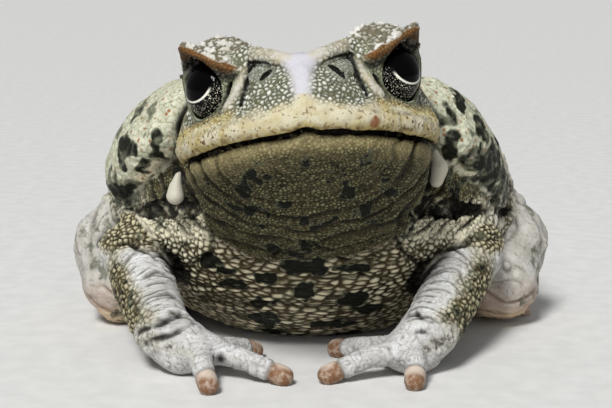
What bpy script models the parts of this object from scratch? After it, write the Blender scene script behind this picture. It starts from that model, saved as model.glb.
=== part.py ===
"""A sitting cane toad at life size, as closed solids: one for each named part of its body.

The whole body is one smooth form, blended from ellipsoids and tapered limbs. It is then parted
with thin cuts at the joints. Lengths here are in millimetres. X runs across the toad, Y back
from its snout and Z up from the floor.
"""

import math

import bmesh
import bpy
import numpy as np
from mathutils import Matrix, Vector

MM = 0.001
SIDES = {"right": -1, "left": 1}

# Driving dimensions
TORSO_WIDTH = 107.0
HEAD_WIDTH = 61.5
MOUTH_HEIGHT = 59.7
HEAD_PITCH = 9.5
HEAD_ROLL = 4.9
EYE_RADIUS = 7.6
LEAN = 1.5
GAP = 0.3
ORIGIN = (1.75, 72.0, 0.0)

# Mesh sizes
GRID = 1.0
BODY_TRIANGLES = 4800
FLAT = math.radians(0.1)

# Colours
SKIN_COLOUR = (0.32, 0.27, 0.17, 1)
SKIN_COLOURS = {
    "parotoid": (0.45, 0.40, 0.29, 1),
    "tympanum": (0.22, 0.19, 0.13, 1),
    "lower": (0.20, 0.18, 0.11, 1),
    "finger": (0.42, 0.37, 0.30, 1),
    "hand": (0.42, 0.37, 0.30, 1),
}
EYE_COLOUR = (0.02, 0.02, 0.02, 1)

# How widely pieces of flesh run into each other
WIDE, SOFT, TIGHT = 12.0, 6.0, 2.5


class Form:
    """A rounded form: its signed distance, a point inside it and how far it reaches from there."""

    def __init__(self, distance, centre, reach, blend):
        self.distance = distance
        self.centre = np.array(centre, float)
        self.reach = reach
        self.blend = blend


def turn(axis, degrees):
    return np.array(Matrix.Rotation(math.radians(degrees), 3, axis))


def length(v):
    return np.sqrt(np.einsum("ij,ij->i", v, v))


def ellipsoid(centre, radii, blend, axes=None):
    """axes holds the ellipsoid's own three directions as columns."""
    centre = np.array(centre, float)
    radii = np.array(radii, float)
    axes = np.eye(3) if axes is None else axes

    def distance(p):
        q = (p - centre) @ axes
        outer = length(q / radii)
        return outer * (outer - 1) / np.maximum(length(q / radii**2), 1e-9)

    return Form(distance, centre, radii.max(), blend)


def limb(start, end, start_radius, end_radius, blend):
    start = np.array(start, float)
    along = np.array(end, float) - start
    span = along @ along

    def distance(p):
        q = p - start
        share = np.clip(q @ along / span, 0, 1)
        return length(q - share[:, None] * along) - start_radius - share * (end_radius - start_radius)

    reach = math.sqrt(span) / 2 + max(start_radius, end_radius)
    return Form(distance, start + along / 2, reach, blend)


def tube(points, radii, blend):
    """A round tube through the points, with its own radius at each."""
    pieces = [limb(a, b, ra, rb, blend) for a, b, ra, rb in zip(points, points[1:], radii, radii[1:])]

    def distance(p):
        return np.min([piece.distance(p) for piece in pieces], axis=0)

    centre = np.mean(points, axis=0)
    reach = max(np.linalg.norm(np.subtract(point, centre)) + radius for point, radius in zip(points, radii))
    return Form(distance, centre, reach, blend)


def smooth_min(a, b, blend):
    near = np.maximum(blend - np.abs(a - b), 0) / blend
    return np.minimum(a, b) - near * near * blend / 4


def smooth_max(a, b, blend):
    return -smooth_min(-a, -b, blend)


def join(p, forms, start=None):
    """The signed distance at points p of the forms run into each other in turn."""
    total = np.full(len(p), 1e3) if start is None else start.copy()
    for form in forms:
        near = length(p - form.centre) - form.reach < total + form.blend
        if near.any():
            total[near] = smooth_min(total[near], form.distance(p[near]), form.blend)
    return total


# Head, in its own frame: origin at the front of the mouth, Y back along the jaw and Z up
HEAD_AXES = turn("Y", -HEAD_ROLL) @ turn("X", -HEAD_PITCH)
HEAD_ORIGIN = np.array([0, 1.5, MOUTH_HEIGHT])
EYE = np.array([18.9, 20.3, 12.4])
EYE_GAZE = np.array([0.74, -0.66, 0.08])
LID_THICKNESS = 0.9
LID_OPENING = (7.1, 6.9)
LID_DEPTH = 2.8
TYMPANUM = (29.0, 33.0, 8.5)
TYMPANUM_RADIUS = 4.2
LOBES_BY_SIDE = {
    "right": [(30.2, 37.0, -3.5), (32.4, 37.0, -7.5), (33.2, 36.5, -11.6)],
    "left": [(28.6, 37.5, -4.0), (29.8, 38.0, -7.5), (28.9, 38.5, -12.0)],
}
LOBE_RADII = {"right": [1.2, 1.3, 2.3], "left": [1.4, 2.0, 2.3]}
NOSTRIL = [(8.9, 6.3, 12.6), (7.6, 6.3, 13.7), (6.0, 6.3, 14.7)]
HEAD_BLOCK = (0, 8, 2)
HEAD_BLOCK_RADII = (72, 34, 32)


def to_head(p):
    return (p - HEAD_ORIGIN) @ HEAD_AXES


def from_head(p):
    return HEAD_ORIGIN + HEAD_AXES @ np.array(p, float)


def sided(side, point):
    return np.array([side * point[0], point[1], point[2]], float)


def mouth_height(x):
    """The mouth line arches down to both corners, with a small notch at its middle."""
    return -0.0043 * x * x + 0.7 * np.exp(-((x / 2.6) ** 2))


def eye_frame(side):
    """Columns: across the eye's opening, up it, and out along the gaze."""
    gaze = sided(side, EYE_GAZE)
    gaze /= np.linalg.norm(gaze)
    across = np.cross((0, 0, 1), gaze)
    across /= np.linalg.norm(across)
    return np.column_stack([across, np.cross(gaze, across), gaze])


def jaw_curve(across, back, height, start, stop, steps):
    """Points round the U of the jaw, between two angles from straight ahead."""
    points = []
    for angle in np.linspace(math.radians(start), math.radians(stop), steps):
        x = across * math.sin(angle)
        y = back - back * math.cos(angle)
        points.append((x, y, height + mouth_height(x)))
    return points


def upper_head_forms():
    half = HEAD_WIDTH / 2
    forms = [
        ellipsoid((0, 31, 3.0), (half - 3.0, 31, 8.5), SOFT),
        ellipsoid((0, 29, 7), (17, 27.5, 10.5), SOFT),
        ellipsoid((0, 10.5, 6.5), (11, 10.5, 7.5), SOFT),
        tube([(0, 1.6, 4), (0, 2.2, 9), (0, 3.8, 13.2), (0, 9, 16.0)], [2.6, 2.0, 1.9, 2.2], TIGHT),
    ]
    lip = jaw_curve(half - 3.0, 30.5, 2.9, -96, 96, 25)
    forms.append(tube(lip, [2.9] * len(lip), TIGHT))
    for side in SIDES.values():
        frame = eye_frame(side)
        eye = sided(side, EYE)
        # Canthal ridge, from the nose to the front of the eye
        ridge = [(1.5, 6.0, 15.4), (5.5, 7.6, 16.9), (9.5, 10.6, 18.4), (13.0, 14.8, 19.2)]
        forms.append(tube([sided(side, p) for p in ridge], [1.6, 1.8, 1.9, 1.9], TIGHT))
        # Cushion of the nostril, and the bar of bone in front of the eye
        forms.append(ellipsoid(sided(side, (7.3, 9.0, 12.8)), (4.2, 3.8, 3.6), TIGHT))
        forms.append(limb(sided(side, (11.6, 11.6, 15.5)), sided(side, (15.6, 9.6, 7.0)), 1.7, 1.7, TIGHT))
        # The lids' ball, the warty cushion of the upper lid and the cheek behind
        forms.append(ellipsoid(eye, [EYE_RADIUS + LID_THICKNESS] * 3, TIGHT, frame))
        forms.append(ellipsoid(sided(side, (17.5, 22, 17.6)), (7.5, 9.5, 6.8), SOFT))
        forms.append(ellipsoid(sided(side, (21.0, 34, 4)), (7.5, 9, 10), SOFT))
        # Crest over the eye, whose outer tip stands up like a horn
        crest = [(12.8, 12.4, 15.8), (16.5, 11.8, 17.2), (20.5, 12.4, 19.2), (25.8, 15.4, 22.2)]
        crest += [(25.4, 21, 21.2), (23.6, 27.0, 17.5), (21.5, 30.5, 13.0)]
        radii = [1.4, 1.6, 1.7, 1.2, 1.6, 1.9, 1.9]
        forms.append(tube([sided(side, p) for p in crest], radii, TIGHT))
    return forms


def lower_jaw_forms():
    half = HEAD_WIDTH / 2
    forms = [
        ellipsoid((0, 33, -4), (half - 3.5, 30.5, 8), SOFT),
        ellipsoid((0, 34, -11), (27.0, 27.0, 15), SOFT, turn("X", -28)),
    ]
    lip = jaw_curve(half - 4.6, 28.5, -2.6, -90, 90, 19)
    lip = [(x, y + 1.5, z) for x, y, z in lip]
    return forms + [tube(lip, [2.4] * len(lip), TIGHT)]


def lobe_forms():
    """Pale drops of gland that hang behind the corners of the mouth."""
    forms = []
    for name, side in SIDES.items():
        drop = [sided(side, place) for place in LOBES_BY_SIDE[name]]
        forms.append(tube(drop, LOBE_RADII[name], 1.5))
    return forms


UPPER_HEAD = upper_head_forms()
LOBES = lobe_forms()
LOWER_JAW = lower_jaw_forms()


def head(p):
    """Signed distance of the head, in its own frame: sockets, nostrils and mouth are cut in."""
    upper = join(p, UPPER_HEAD)
    over_mouth = p[:, 2] - mouth_height(p[:, 0])
    upper = smooth_max(upper, -over_mouth, 2.5)
    lower = smooth_max(join(p, LOWER_JAW), over_mouth, 2.5)
    total = join(p, LOBES, smooth_min(upper, lower, 1.2))
    for side in SIDES.values():
        q = (p - sided(side, EYE)) @ eye_frame(side)
        opening = length(q[:, :2] / np.array(LID_OPENING)) * min(LID_OPENING) - min(LID_OPENING)
        opening = np.maximum(opening, LID_DEPTH - q[:, 2])
        total = smooth_max(total, -opening, 1.2)
        nostril = tube([sided(side, place) for place in NOSTRIL], [0.8, 1.1, 0.8], TIGHT)
        total = smooth_max(total, -nostril.distance(p), 0.6)
    return total


# Limbs, each joint as a place on the left
SHOULDER = (24, 62, 33)
ELBOW = {"right": (44.5, 54, 23.5), "left": (42.3, 54, 23.5)}
WRIST = {"right": (34.0, 30, 9.6), "left": (29.6, 30, 9.6)}
PALM = {"right": (28.5, 27, 4.4), "left": (25.0, 27, 4.4)}
HIP = (24, 112, 26)
KNEE = (51.5, 82, 20)
HEEL = (42, 127, 9)
TARSUS = (46, 102, 4.5)

FINGER_RADII = (2.8, 2.6, 2.4)
FINGERS = {
    "right": {
        "1": [(26, 31, 4.5), (22.5, 37, 3.4), (20.0, 43, 2.0)],
        "2": [(22, 27, 5.6), (17.5, 33, 4.2), (12.8, 39, 2.0)],
        "3": [(22, 23.5, 6.2), (14, 20.5, 4.8), (5.2, 16.8, 2.0)],
        "4": [(24.5, 21.5, 6.0), (23.8, 15.5, 5.0), (21.9, 9.8, 2.0)],
    },
    "left": {
        "1": [(25, 33, 4.5), (21.0, 38.5, 3.4), (18.0, 44, 2.0)],
        "2": [(21.5, 28, 5.6), (14.5, 34, 4.2), (7.6, 41, 2.0)],
        "3": [(22, 24, 6.2), (13.5, 21, 4.8), (5.0, 18.0, 2.0)],
        "4": [(24.5, 23, 6.0), (25.2, 18, 5.0), (24.6, 13.0, 2.0)],
    },
}
TOE_TIPS = {
    "right": [(35, 86, 1.8), (38, 81, 1.8), (43, 79, 1.8), (48, 80, 1.8), (50.0, 87, 1.8)],
    "left": [(38, 86, 1.8), (41, 81, 1.8), (46, 79, 1.8), (51, 80, 1.8), (57.5, 83, 1.8)],
}
TOE_RADIUS = 2.2
FOOT_TOP = 6.5

# Raised warts
WARTS = 60
WART_SPACING = 9.0
WART_RADII = (1.7, 2.7)
WART_SEED = 4
SUNK = 1.5


def arm_forms(name):
    side = SIDES[name]
    shoulder, elbow, wrist = (sided(side, p) for p in (SHOULDER, ELBOW[name], WRIST[name]))
    forearm = elbow + (wrist - elbow) * 0.45
    forms = [limb(shoulder, elbow, 11.5, 6.8, SOFT)]
    forms.append(tube([elbow, forearm, wrist], [6.7, 7.6, 6.8], TIGHT))
    forms.append(ellipsoid(sided(side, PALM[name]), (7.0, 6.0, 4.6), TIGHT))
    for finger in FINGERS[name].values():
        knuckle = sided(side, finger[0])
        forms.append(limb(wrist, knuckle, 4.8, 3.2, TIGHT))
    for finger in FINGERS[name].values():
        points = [sided(side, p) for p in finger]
        forms.append(tube(points, FINGER_RADII, 1.2))
    return forms


def leg_forms(name):
    side = SIDES[name]
    hip, knee, heel, tarsus = (sided(side, p) + (LEAN, 0, 0) for p in (HIP, KNEE, HEEL, TARSUS))
    middle = hip + (knee - hip) * 0.45 + np.array([side * 3, 0, 2])
    calf = knee + (heel - knee) * 0.4 + np.array([side * 2.0, 0, 0])
    forms = [tube([hip, middle, knee], [17, 16, 12.5], SOFT)]
    shin = knee + np.array([side * -1.2, -6.5, -8.4])
    forms.append(tube([shin, calf, heel], [11.0, 11.8, 6.5], TIGHT))
    forms.append(limb(heel + np.array([0, 0, -3.5]), tarsus, 5.4, 4.6, TIGHT))
    sole = tarsus + np.array([0, 0, -1.5])
    for tip in TOE_TIPS[name]:
        forms.append(limb(sole, sided(side, tip) + (LEAN, 0, 0), 2.8, TOE_RADIUS, 1.5))
    return forms


def torso_forms():
    half = TORSO_WIDTH / 2
    forms = [
        ellipsoid((LEAN, 86, 33), (half, 54, 37.5), SOFT),
        ellipsoid((LEAN, 121, 25), (32, 21, 24), WIDE),
        ellipsoid((0, 56, 49), (31, 26, 19.5), SOFT),
        ellipsoid((0, 62, 31), (34, 26, 25), SOFT),
    ]
    for side in SIDES.values():
        forms.append(ellipsoid(sided(side, (26, 57, 33)), (13, 13, 12), SOFT))
    return forms


PAROTOID = (38.0, 62.0, 51.0)
PAROTOID_RADII = (24.0, 14.5, 9.0)


def parotoid_axes(side):
    """Columns: along the gland, across it and out of the body."""
    along = sided(side, (0.46, 0.70, -0.55))
    out = sided(side, (0.76, -0.06, 0.64))
    along /= np.linalg.norm(along)
    across = np.cross(out, along)
    across /= np.linalg.norm(across)
    return np.column_stack([along, across, np.cross(along, across)])


def parotoid_form(side):
    return ellipsoid(sided(side, PAROTOID), PAROTOID_RADII, TIGHT, parotoid_axes(side))


TORSO = torso_forms()
ARMS = [form for name in SIDES for form in arm_forms(name)]
LEGS = [form for name in SIDES for form in leg_forms(name)]
PAROTOIDS = [parotoid_form(side) for side in SIDES.values()]


def smooth_body(p):
    """Signed distance of the whole toad before its warts."""
    total = join(p, TORSO)
    total = join(p, LEGS, total)
    total = join(p, PAROTOIDS, total)
    local = to_head(p)
    total = smooth_min(total, head(local), 3.0)
    return join(p, ARMS, total)


def wart_places():
    """Places on the back, flanks and haunches, at least their spacing apart, and their radii."""
    rng = np.random.default_rng(WART_SEED)
    out = rng.normal(size=(4000, 3))
    out /= length(out)[:, None]
    places = np.array([LEAN, 92, 30]) + out * 90
    for _ in range(40):
        places -= out * smooth_body(places)[:, None]
    gland = np.min([form.distance(places) for form in PAROTOIDS], axis=0)
    free = (places[:, 2] > 17) & (places[:, 1] > 52) & (gland > 3) & (head(to_head(places)) > 4)
    kept = []
    for place in places[free]:
        if all(np.linalg.norm(place - other) > WART_SPACING for other in kept):
            kept.append(place)
        if len(kept) == WARTS:
            break
    return np.array(kept), rng.uniform(*WART_RADII, len(kept))


def wart_forms():
    places, radii = wart_places()
    nudge = 0.5 * np.eye(3)
    slope = np.column_stack([smooth_body(places + n) - smooth_body(places - n) for n in nudge])
    slope /= length(slope)[:, None]
    centres = places - slope * radii[:, None] * 0.45
    return [ellipsoid(centre, [radius] * 3, 1.2) for centre, radius in zip(centres, radii)]


WARTS_ON_BODY = wart_forms()


def body(p):
    """Signed distance of the whole toad, cut off flat just under the floor."""
    return np.maximum(join(p, WARTS_ON_BODY, smooth_body(p)), -p[:, 2] - SUNK)


# Meshing

BLOCK = 4
CORNERS = np.array([(i, j, k) for i in (0, 1) for j in (0, 1) for k in (0, 1)])


def one_patch(members):
    """Whether these corners of a cell are joined along its edges."""
    if not members:
        return True
    found, todo = {members[0]}, [members[0]]
    while todo:
        at = todo.pop()
        for other in members:
            if other not in found and np.abs(CORNERS[at] - CORNERS[other]).sum() == 1:
                found.add(other)
                todo.append(other)
    return len(found) == len(members)


def sheet_table():
    """For each of the 256 patterns of a cell's corners, whether one sheet of surface crosses it."""
    table = np.zeros(256, bool)
    for pattern in range(256):
        inside = [n for n in range(8) if pattern >> n & 1]
        outside = [n for n in range(8) if not pattern >> n & 1]
        table[pattern] = one_patch(inside) and one_patch(outside)
    return table


def sample(field, low, high, step):
    """The field on a grid, worked out in full only in blocks that the surface may cross."""
    blocks = np.ceil((np.array(high) - low) / (step * BLOCK)).astype(int)
    at = np.stack(np.meshgrid(*[np.arange(n) for n in blocks], indexing="ij"), -1).reshape(-1, 3)
    centres = low + (at + 0.5 - 0.5 / BLOCK) * BLOCK * step
    rough = field(centres)
    values = np.repeat(np.repeat(np.repeat(rough.reshape(blocks), BLOCK, 0), BLOCK, 1), BLOCK, 2)
    near = at[np.abs(rough) < 1.5 * BLOCK * step]
    inner = np.stack(np.meshgrid(*[np.arange(BLOCK)] * 3, indexing="ij"), -1).reshape(-1, 3)
    index = (near[:, None] * BLOCK + inner[None]).reshape(-1, 3)
    values[tuple(index.T)] = field(low + index * step)
    return values


def fill_double_cells(values, step):
    """Fills the few cells that two sheets of surface would share, so that the mesh stays closed."""
    single = sheet_table()
    shape = np.array(values.shape) - 1
    while True:
        inside = values < 0
        pattern = np.zeros(shape, np.uint8)
        for n, (i, j, k) in enumerate(CORNERS):
            part = inside[i : i + shape[0], j : j + shape[1], k : k + shape[2]]
            pattern |= part.astype(np.uint8) << n
        double = np.argwhere(~single[pattern])
        if not len(double):
            return values
        for corner in CORNERS:
            at = tuple((double + corner).T)
            values[at] = np.minimum(values[at], -0.02 * step)


def surface(values, low, step):
    """Points and four-sided faces of the surface where the values change sign."""
    inside = values < 0
    shape = np.array(values.shape)
    cells, crossings, turned = [], [], []
    for axis in range(3):
        b, c = (axis + 1) % 3, (axis + 2) % 3
        step_on = np.eye(3, dtype=int)[axis]
        first = tuple(slice(0, n - s) for n, s in zip(shape, step_on))
        after = tuple(slice(s, n) for n, s in zip(shape, step_on))
        at = np.argwhere(inside[first] != inside[after])
        v0, v1 = values[tuple(at.T)], values[tuple((at + step_on).T)]
        crossings.append(at + (v0 / (v0 - v1))[:, None] * step_on)
        around = np.zeros((4, 3), int)
        around[1, b] = around[2, b] = around[2, c] = around[3, c] = -1
        cells.append(at[:, None] + around[None])
        turned.append(v0 > 0)
    cells, crossings, turned = (np.concatenate(x) for x in (cells, crossings, turned))
    keys = np.ravel_multi_index(tuple(cells.reshape(-1, 3).T), tuple(shape))
    _, corner = np.unique(keys, return_inverse=True)
    corner = corner.reshape(-1)
    spread = np.repeat(crossings, 4, axis=0)
    count = np.bincount(corner)
    points = np.column_stack([np.bincount(corner, spread[:, n]) / count for n in range(3)])
    faces = corner.reshape(-1, 4)
    faces[turned] = faces[turned][:, ::-1]
    return low + points * step, faces


def link_mesh(name, mesh):
    obj = bpy.data.objects.new(name, mesh)
    bpy.context.scene.collection.objects.link(obj)
    return obj


def mesh_object(name, points, faces):
    mesh = bpy.data.meshes.new(name)
    mesh.from_pydata(points.tolist(), [], faces.tolist())
    mesh.update()
    return link_mesh(name, mesh)


def whole_body(step):
    low = np.array([-75.0, -8.0, -4.0])
    high = np.array([75.0, 152.0, 92.0])
    values = fill_double_cells(sample(body, low, high, step), step)
    return surface(values, low, step)


# Parting the body

def ball(centre, radius, around=10, rows=5):
    """Points over a ball, or over an ellipsoid where there are three radii."""
    polar = np.linspace(0, np.pi, rows + 1)
    turns = np.linspace(0, 2 * np.pi, around, endpoint=False)
    polar, turns = (grid.ravel() for grid in np.meshgrid(polar, turns))
    points = np.column_stack([np.sin(polar) * np.cos(turns), np.sin(polar) * np.sin(turns), np.cos(polar)])
    return np.array(centre, float) + points * radius


def hull(points):
    """The rounded block that wraps these points."""
    mesh = bpy.data.meshes.new("block")
    bm = bmesh.new()
    for point in np.concatenate(points):
        bm.verts.new(point)
    bmesh.ops.remove_doubles(bm, verts=bm.verts, dist=1e-4)
    wrapped = bmesh.ops.convex_hull(bm, input=bm.verts)
    inner = [item for item in wrapped["geom_interior"] if isinstance(item, bmesh.types.BMVert)]
    bmesh.ops.delete(bm, geom=inner, context="VERTS")
    loose = [vert for vert in bm.verts if not vert.link_faces]
    bmesh.ops.delete(bm, geom=loose, context="VERTS")
    bmesh.ops.recalc_face_normals(bm, faces=bm.faces)
    bm.to_mesh(mesh)
    bm.free()
    return link_mesh("block", mesh)


def balls_block(places):
    """A block round balls, each a centre and a radius. It can be asked for with a margin."""
    return lambda margin: hull([ball(centre, radius + margin) for centre, radius in places])


def ellipsoid_block(centre, radii, axes, around=16, rows=7):
    def block(margin):
        points = ball((0, 0, 0), np.array(radii) + margin, around, rows)
        return hull([np.array(centre) + points @ axes.T])
    return block


def foot_block(name):
    """A flat slab round the foot."""
    side = SIDES[name]
    heel, tarsus = (sided(side, p)[:2] + (LEAN, 0) for p in (HEEL, TARSUS))
    places = [(heel, 7.0), (tarsus, 6.5)]
    places += [(sided(side, tip)[:2] + (LEAN, 0), 3.4) for tip in TOE_TIPS[name]]
    turns = np.linspace(0, 2 * np.pi, 12, endpoint=False)

    def block(margin):
        points = []
        for height in (-5, FOOT_TOP + margin):
            for centre, radius in places:
                ring = centre + (radius + margin) * np.column_stack([np.cos(turns), np.sin(turns)])
                points.append(np.column_stack([ring, np.full(len(turns), height)]))
        return hull(points)
    return block


def over_mouth_block(margin):
    """Everything above the mouth: a block whose underside follows the mouth line."""
    across = np.linspace(-48, 48, 33)
    profile = [(x, mouth_height(x) - margin) for x in across] + [(48, 70), (-48, 70)]
    bm = bmesh.new()
    rows = []
    for y in (-25, 75):
        rows.append([bm.verts.new(from_head((x, y, z))) for x, z in profile])
    count = len(profile)
    for n in range(count):
        bm.faces.new([rows[0][n], rows[0][(n + 1) % count], rows[1][(n + 1) % count], rows[1][n]])
    bm.faces.new(rows[0])
    bm.faces.new(rows[1])
    bmesh.ops.recalc_face_normals(bm, faces=bm.faces)
    bmesh.ops.triangulate(bm, faces=bm.faces)
    mesh = bpy.data.meshes.new("block")
    bm.to_mesh(mesh)
    bm.free()
    return link_mesh("block", mesh)


def copy_of(obj, name):
    return link_mesh(name, obj.data.copy())


def is_closed(mesh):
    bm = bmesh.new()
    bm.from_mesh(mesh)
    closed = all(len(edge.link_faces) == 2 for edge in bm.edges)
    bm.free()
    return closed


def carve(obj, block, operation):
    """Cuts the block out of the object, or keeps only what lies inside it."""
    modifier = obj.modifiers.new("carve", "BOOLEAN")
    modifier.operation = operation
    modifier.object = block
    for solver in ("EXACT", "MANIFOLD"):
        modifier.solver = solver
        graph = bpy.context.evaluated_depsgraph_get()
        carved = bpy.data.meshes.new_from_object(obj.evaluated_get(graph))
        if len(carved.polygons) and is_closed(carved):
            break
    obj.modifiers.remove(modifier)
    bm = bmesh.new()
    bm.from_mesh(carved)
    bmesh.ops.triangulate(bm, faces=bm.faces)
    bm.to_mesh(carved)
    bm.free()
    old = obj.data
    obj.data = carved
    bpy.data.meshes.remove(old)
    bpy.data.objects.remove(block)


def part_off(rest, name, block):
    """Takes the flesh inside the block off the rest as a new object, with a gap between them."""
    piece = copy_of(rest, name)
    carve(piece, block(0), "INTERSECT")
    carve(rest, block(GAP), "DIFFERENCE")
    return piece


def keep_largest(obj):
    """Drops the crumbs that a cut leaves beside the main piece."""
    bm = bmesh.new()
    bm.from_mesh(obj.data)
    islands, seen = [], set()
    for face in bm.faces:
        if face in seen:
            continue
        island, todo = [], [face]
        seen.add(face)
        while todo:
            at = todo.pop()
            island.append(at)
            for edge in at.edges:
                for other in edge.link_faces:
                    if other not in seen:
                        seen.add(other)
                        todo.append(other)
        islands.append(island)
    islands.sort(key=lambda faces: -sum(face.calc_area() for face in faces))
    extra = [face for island in islands[1:] for face in island]
    bmesh.ops.delete(bm, geom=extra, context="FACES")
    bmesh.ops.dissolve_limit(bm, angle_limit=FLAT, verts=bm.verts, edges=bm.edges)
    bmesh.ops.triangulate(bm, faces=bm.faces)
    bm.to_mesh(obj.data)
    bm.free()


def limb_blocks():
    """Each limb piece's name and block, from the tips inwards."""
    blocks = []
    for name, side in SIDES.items():
        for number, points in FINGERS[name].items():
            middle, tip = sided(side, points[1]), sided(side, points[2])
            blocks.append((f"finger_{number}_{name}", balls_block([(middle, 3.1), (tip, 3.4)])))
    for name, side in SIDES.items():
        elbow, wrist, shoulder = (sided(side, p) for p in (ELBOW[name], WRIST[name], SHOULDER))
        knuckles = [(sided(side, points[1]), 5.0) for points in FINGERS[name].values()]
        below_elbow = elbow + (wrist - elbow) * 0.12
        blocks.append((f"hand_{name}", balls_block([(wrist + (0, -1, -1), 7.2)] + knuckles)))
        blocks.append((f"forearm_{name}", balls_block([(below_elbow, 9.8), (wrist, 9.0)])))
        joint = shoulder + (side * 2, 0, 0)
        blocks.append((f"upper_arm_{name}", balls_block([(elbow, 10.5), (joint, 12.6)])))
    for name, side in SIDES.items():
        hip, knee, heel = (sided(side, p) + (LEAN, 0, 0) for p in (HIP, KNEE, HEEL))
        shin = knee + (side * 0.0, -4.5, -8.8)
        haunch = hip + (side * 9, 1, -6)
        blocks.append((f"foot_{name}", foot_block(name)))
        blocks.append((f"shank_{name}", balls_block([(shin, 13.8), (heel + (side * 1, 0, 2), 10.0)])))
        blocks.append((f"thigh_{name}", balls_block([(knee, 14.5), (haunch, 17.5)])))
    return blocks


def head_block(margin):
    block = ellipsoid_block(from_head(HEAD_BLOCK), HEAD_BLOCK_RADII, HEAD_AXES, 24, 16)
    return block(margin)


def tympanum_block(side):
    place = from_head(sided(side, TYMPANUM))
    out = HEAD_AXES @ sided(side, (0.93, 0.33, 0.12))
    inner, outer = place - 3 * out, place + 6 * out
    across = np.cross(out, (0, 0, 1))
    across /= np.linalg.norm(across)
    up = np.cross(across, out)
    turns = np.linspace(0, 2 * np.pi, 20, endpoint=False)[:, None]

    def block(margin):
        ring = (TYMPANUM_RADIUS + margin) * (np.cos(turns) * across + np.sin(turns) * up)
        return hull([inner - margin * out + ring, outer + ring])
    return block


def eye_block(side):
    return ellipsoid_block(from_head(sided(side, EYE)), [EYE_RADIUS] * 3, np.eye(3), 16, 9)


def floor_block():
    """All that lies under the floor."""
    corners = [(x, y, z) for x in (-90, 90) for y in (-20, 170) for z in (-20, 0)]
    return hull([np.array(corners, float)])


def part_body(rest):
    """Parts the whole body at its joints and returns every piece."""
    pieces = []
    carve(rest, floor_block(), "DIFFERENCE")
    for name, block in limb_blocks():
        pieces.append(part_off(rest, name, block))
    for name, side in SIDES.items():
        axes = parotoid_axes(side)
        radii = np.array(PAROTOID_RADII) + (0.4, 0.4, 3.0)
        block = ellipsoid_block(sided(side, PAROTOID), radii, axes)
        pieces.append(part_off(rest, f"parotoid_{name}", block))
    skull = part_off(rest, "head", head_block)
    for name, side in SIDES.items():
        eye = eye_block(side)
        carve(skull, eye(GAP), "DIFFERENCE")
        ball_of_eye = eye(0)
        ball_of_eye.name = f"eye_{name}"
        pieces.append(ball_of_eye)
        pieces.append(part_off(skull, f"tympanum_{name}", tympanum_block(side)))
    jaw = copy_of(skull, "lower_jaw")
    carve(skull, over_mouth_block(-GAP / 2), "INTERSECT")
    carve(jaw, over_mouth_block(GAP / 2), "DIFFERENCE")
    rest.name = "torso"
    return pieces + [skull, jaw, rest]


def thin_out(obj, triangles):
    """Fewer triangles, at the first count from this one up that leaves the mesh closed."""
    modifier = obj.modifiers.new("thin out", "DECIMATE")
    full = 2 * len(obj.data.polygons)
    for count in range(triangles, 2 * triangles, 40):
        modifier.ratio = count / full
        graph = bpy.context.evaluated_depsgraph_get()
        thinned = bpy.data.meshes.new_from_object(obj.evaluated_get(graph))
        if is_closed(thinned):
            break
    obj.modifiers.remove(modifier)
    obj.data = thinned


def paint(obj):
    eye = obj.name.startswith("eye")
    skin_colour = SKIN_COLOURS.get(obj.name.split("_")[0], SKIN_COLOUR)
    colour, roughness = (EYE_COLOUR, 0.05) if eye else (skin_colour, 0.55)
    material = bpy.data.materials.new(obj.name)
    material.use_nodes = True
    shader = material.node_tree.nodes["Principled BSDF"]
    shader.inputs["Base Color"].default_value = colour
    shader.inputs["Roughness"].default_value = roughness
    obj.data.materials.clear()
    obj.data.materials.append(material)


def settle(obj):
    """From millimetres about the snout to metres about the middle of the toad's underside."""
    obj.data.transform(Matrix.Scale(MM, 4) @ Matrix.Translation(-Vector(ORIGIN)))


def main():
    for obj in list(bpy.data.objects):
        bpy.data.objects.remove(obj)
    rest = mesh_object("torso", *whole_body(GRID))
    thin_out(rest, BODY_TRIANGLES)
    for obj in part_body(rest):
        keep_largest(obj)
        settle(obj)
        paint(obj)


if __name__ == "__main__":
    main()
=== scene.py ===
"""The looks of a sitting cane toad: one skin over the whole body, and two wet eyes.

Lengths are in millimetres until a mesh is put in place. X runs across the toad, Y back from its
snout and Z up from the floor, as in the solids that the skin dresses.
"""

import math

import bpy
import numpy as np
from mathutils import Matrix, Vector


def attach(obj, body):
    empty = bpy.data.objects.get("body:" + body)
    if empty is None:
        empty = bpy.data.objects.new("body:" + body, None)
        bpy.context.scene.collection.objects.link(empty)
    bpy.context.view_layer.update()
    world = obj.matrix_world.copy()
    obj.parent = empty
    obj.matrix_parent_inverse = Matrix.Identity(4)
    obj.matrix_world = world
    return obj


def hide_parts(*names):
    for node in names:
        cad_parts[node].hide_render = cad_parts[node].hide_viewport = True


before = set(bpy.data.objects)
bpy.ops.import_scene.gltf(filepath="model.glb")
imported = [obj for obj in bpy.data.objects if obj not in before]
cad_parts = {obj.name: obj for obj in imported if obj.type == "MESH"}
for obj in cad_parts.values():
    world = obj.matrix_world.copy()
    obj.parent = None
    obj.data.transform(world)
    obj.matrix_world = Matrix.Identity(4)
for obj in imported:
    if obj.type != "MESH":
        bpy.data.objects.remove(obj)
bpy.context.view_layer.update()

MM = 0.001
SIDES = {"right": -1, "left": 1}
FLESH = [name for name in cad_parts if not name.startswith("eye")]

# Driving dimensions, as in the solids
TORSO_WIDTH = 107.0
HEAD_WIDTH = 61.5
MOUTH_HEIGHT = 59.7
HEAD_PITCH = 9.5
HEAD_ROLL = 4.9
EYE_RADIUS = 7.6
LEAN = 1.5
ORIGIN = (1.75, 72.0, 0.0)

# Mesh sizes: faces up to a distance back are split in four, and those of the head once more
STEP = 0.7
FINE_UP_TO = 66.0
HEAD_UP_TO = 30.0
HEAD_ABOVE = 38.0
BOX_LOW, BOX_HIGH = np.array([-75.0, -8.0, -4.0]), np.array([75.0, 152.0, 92.0])

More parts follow.
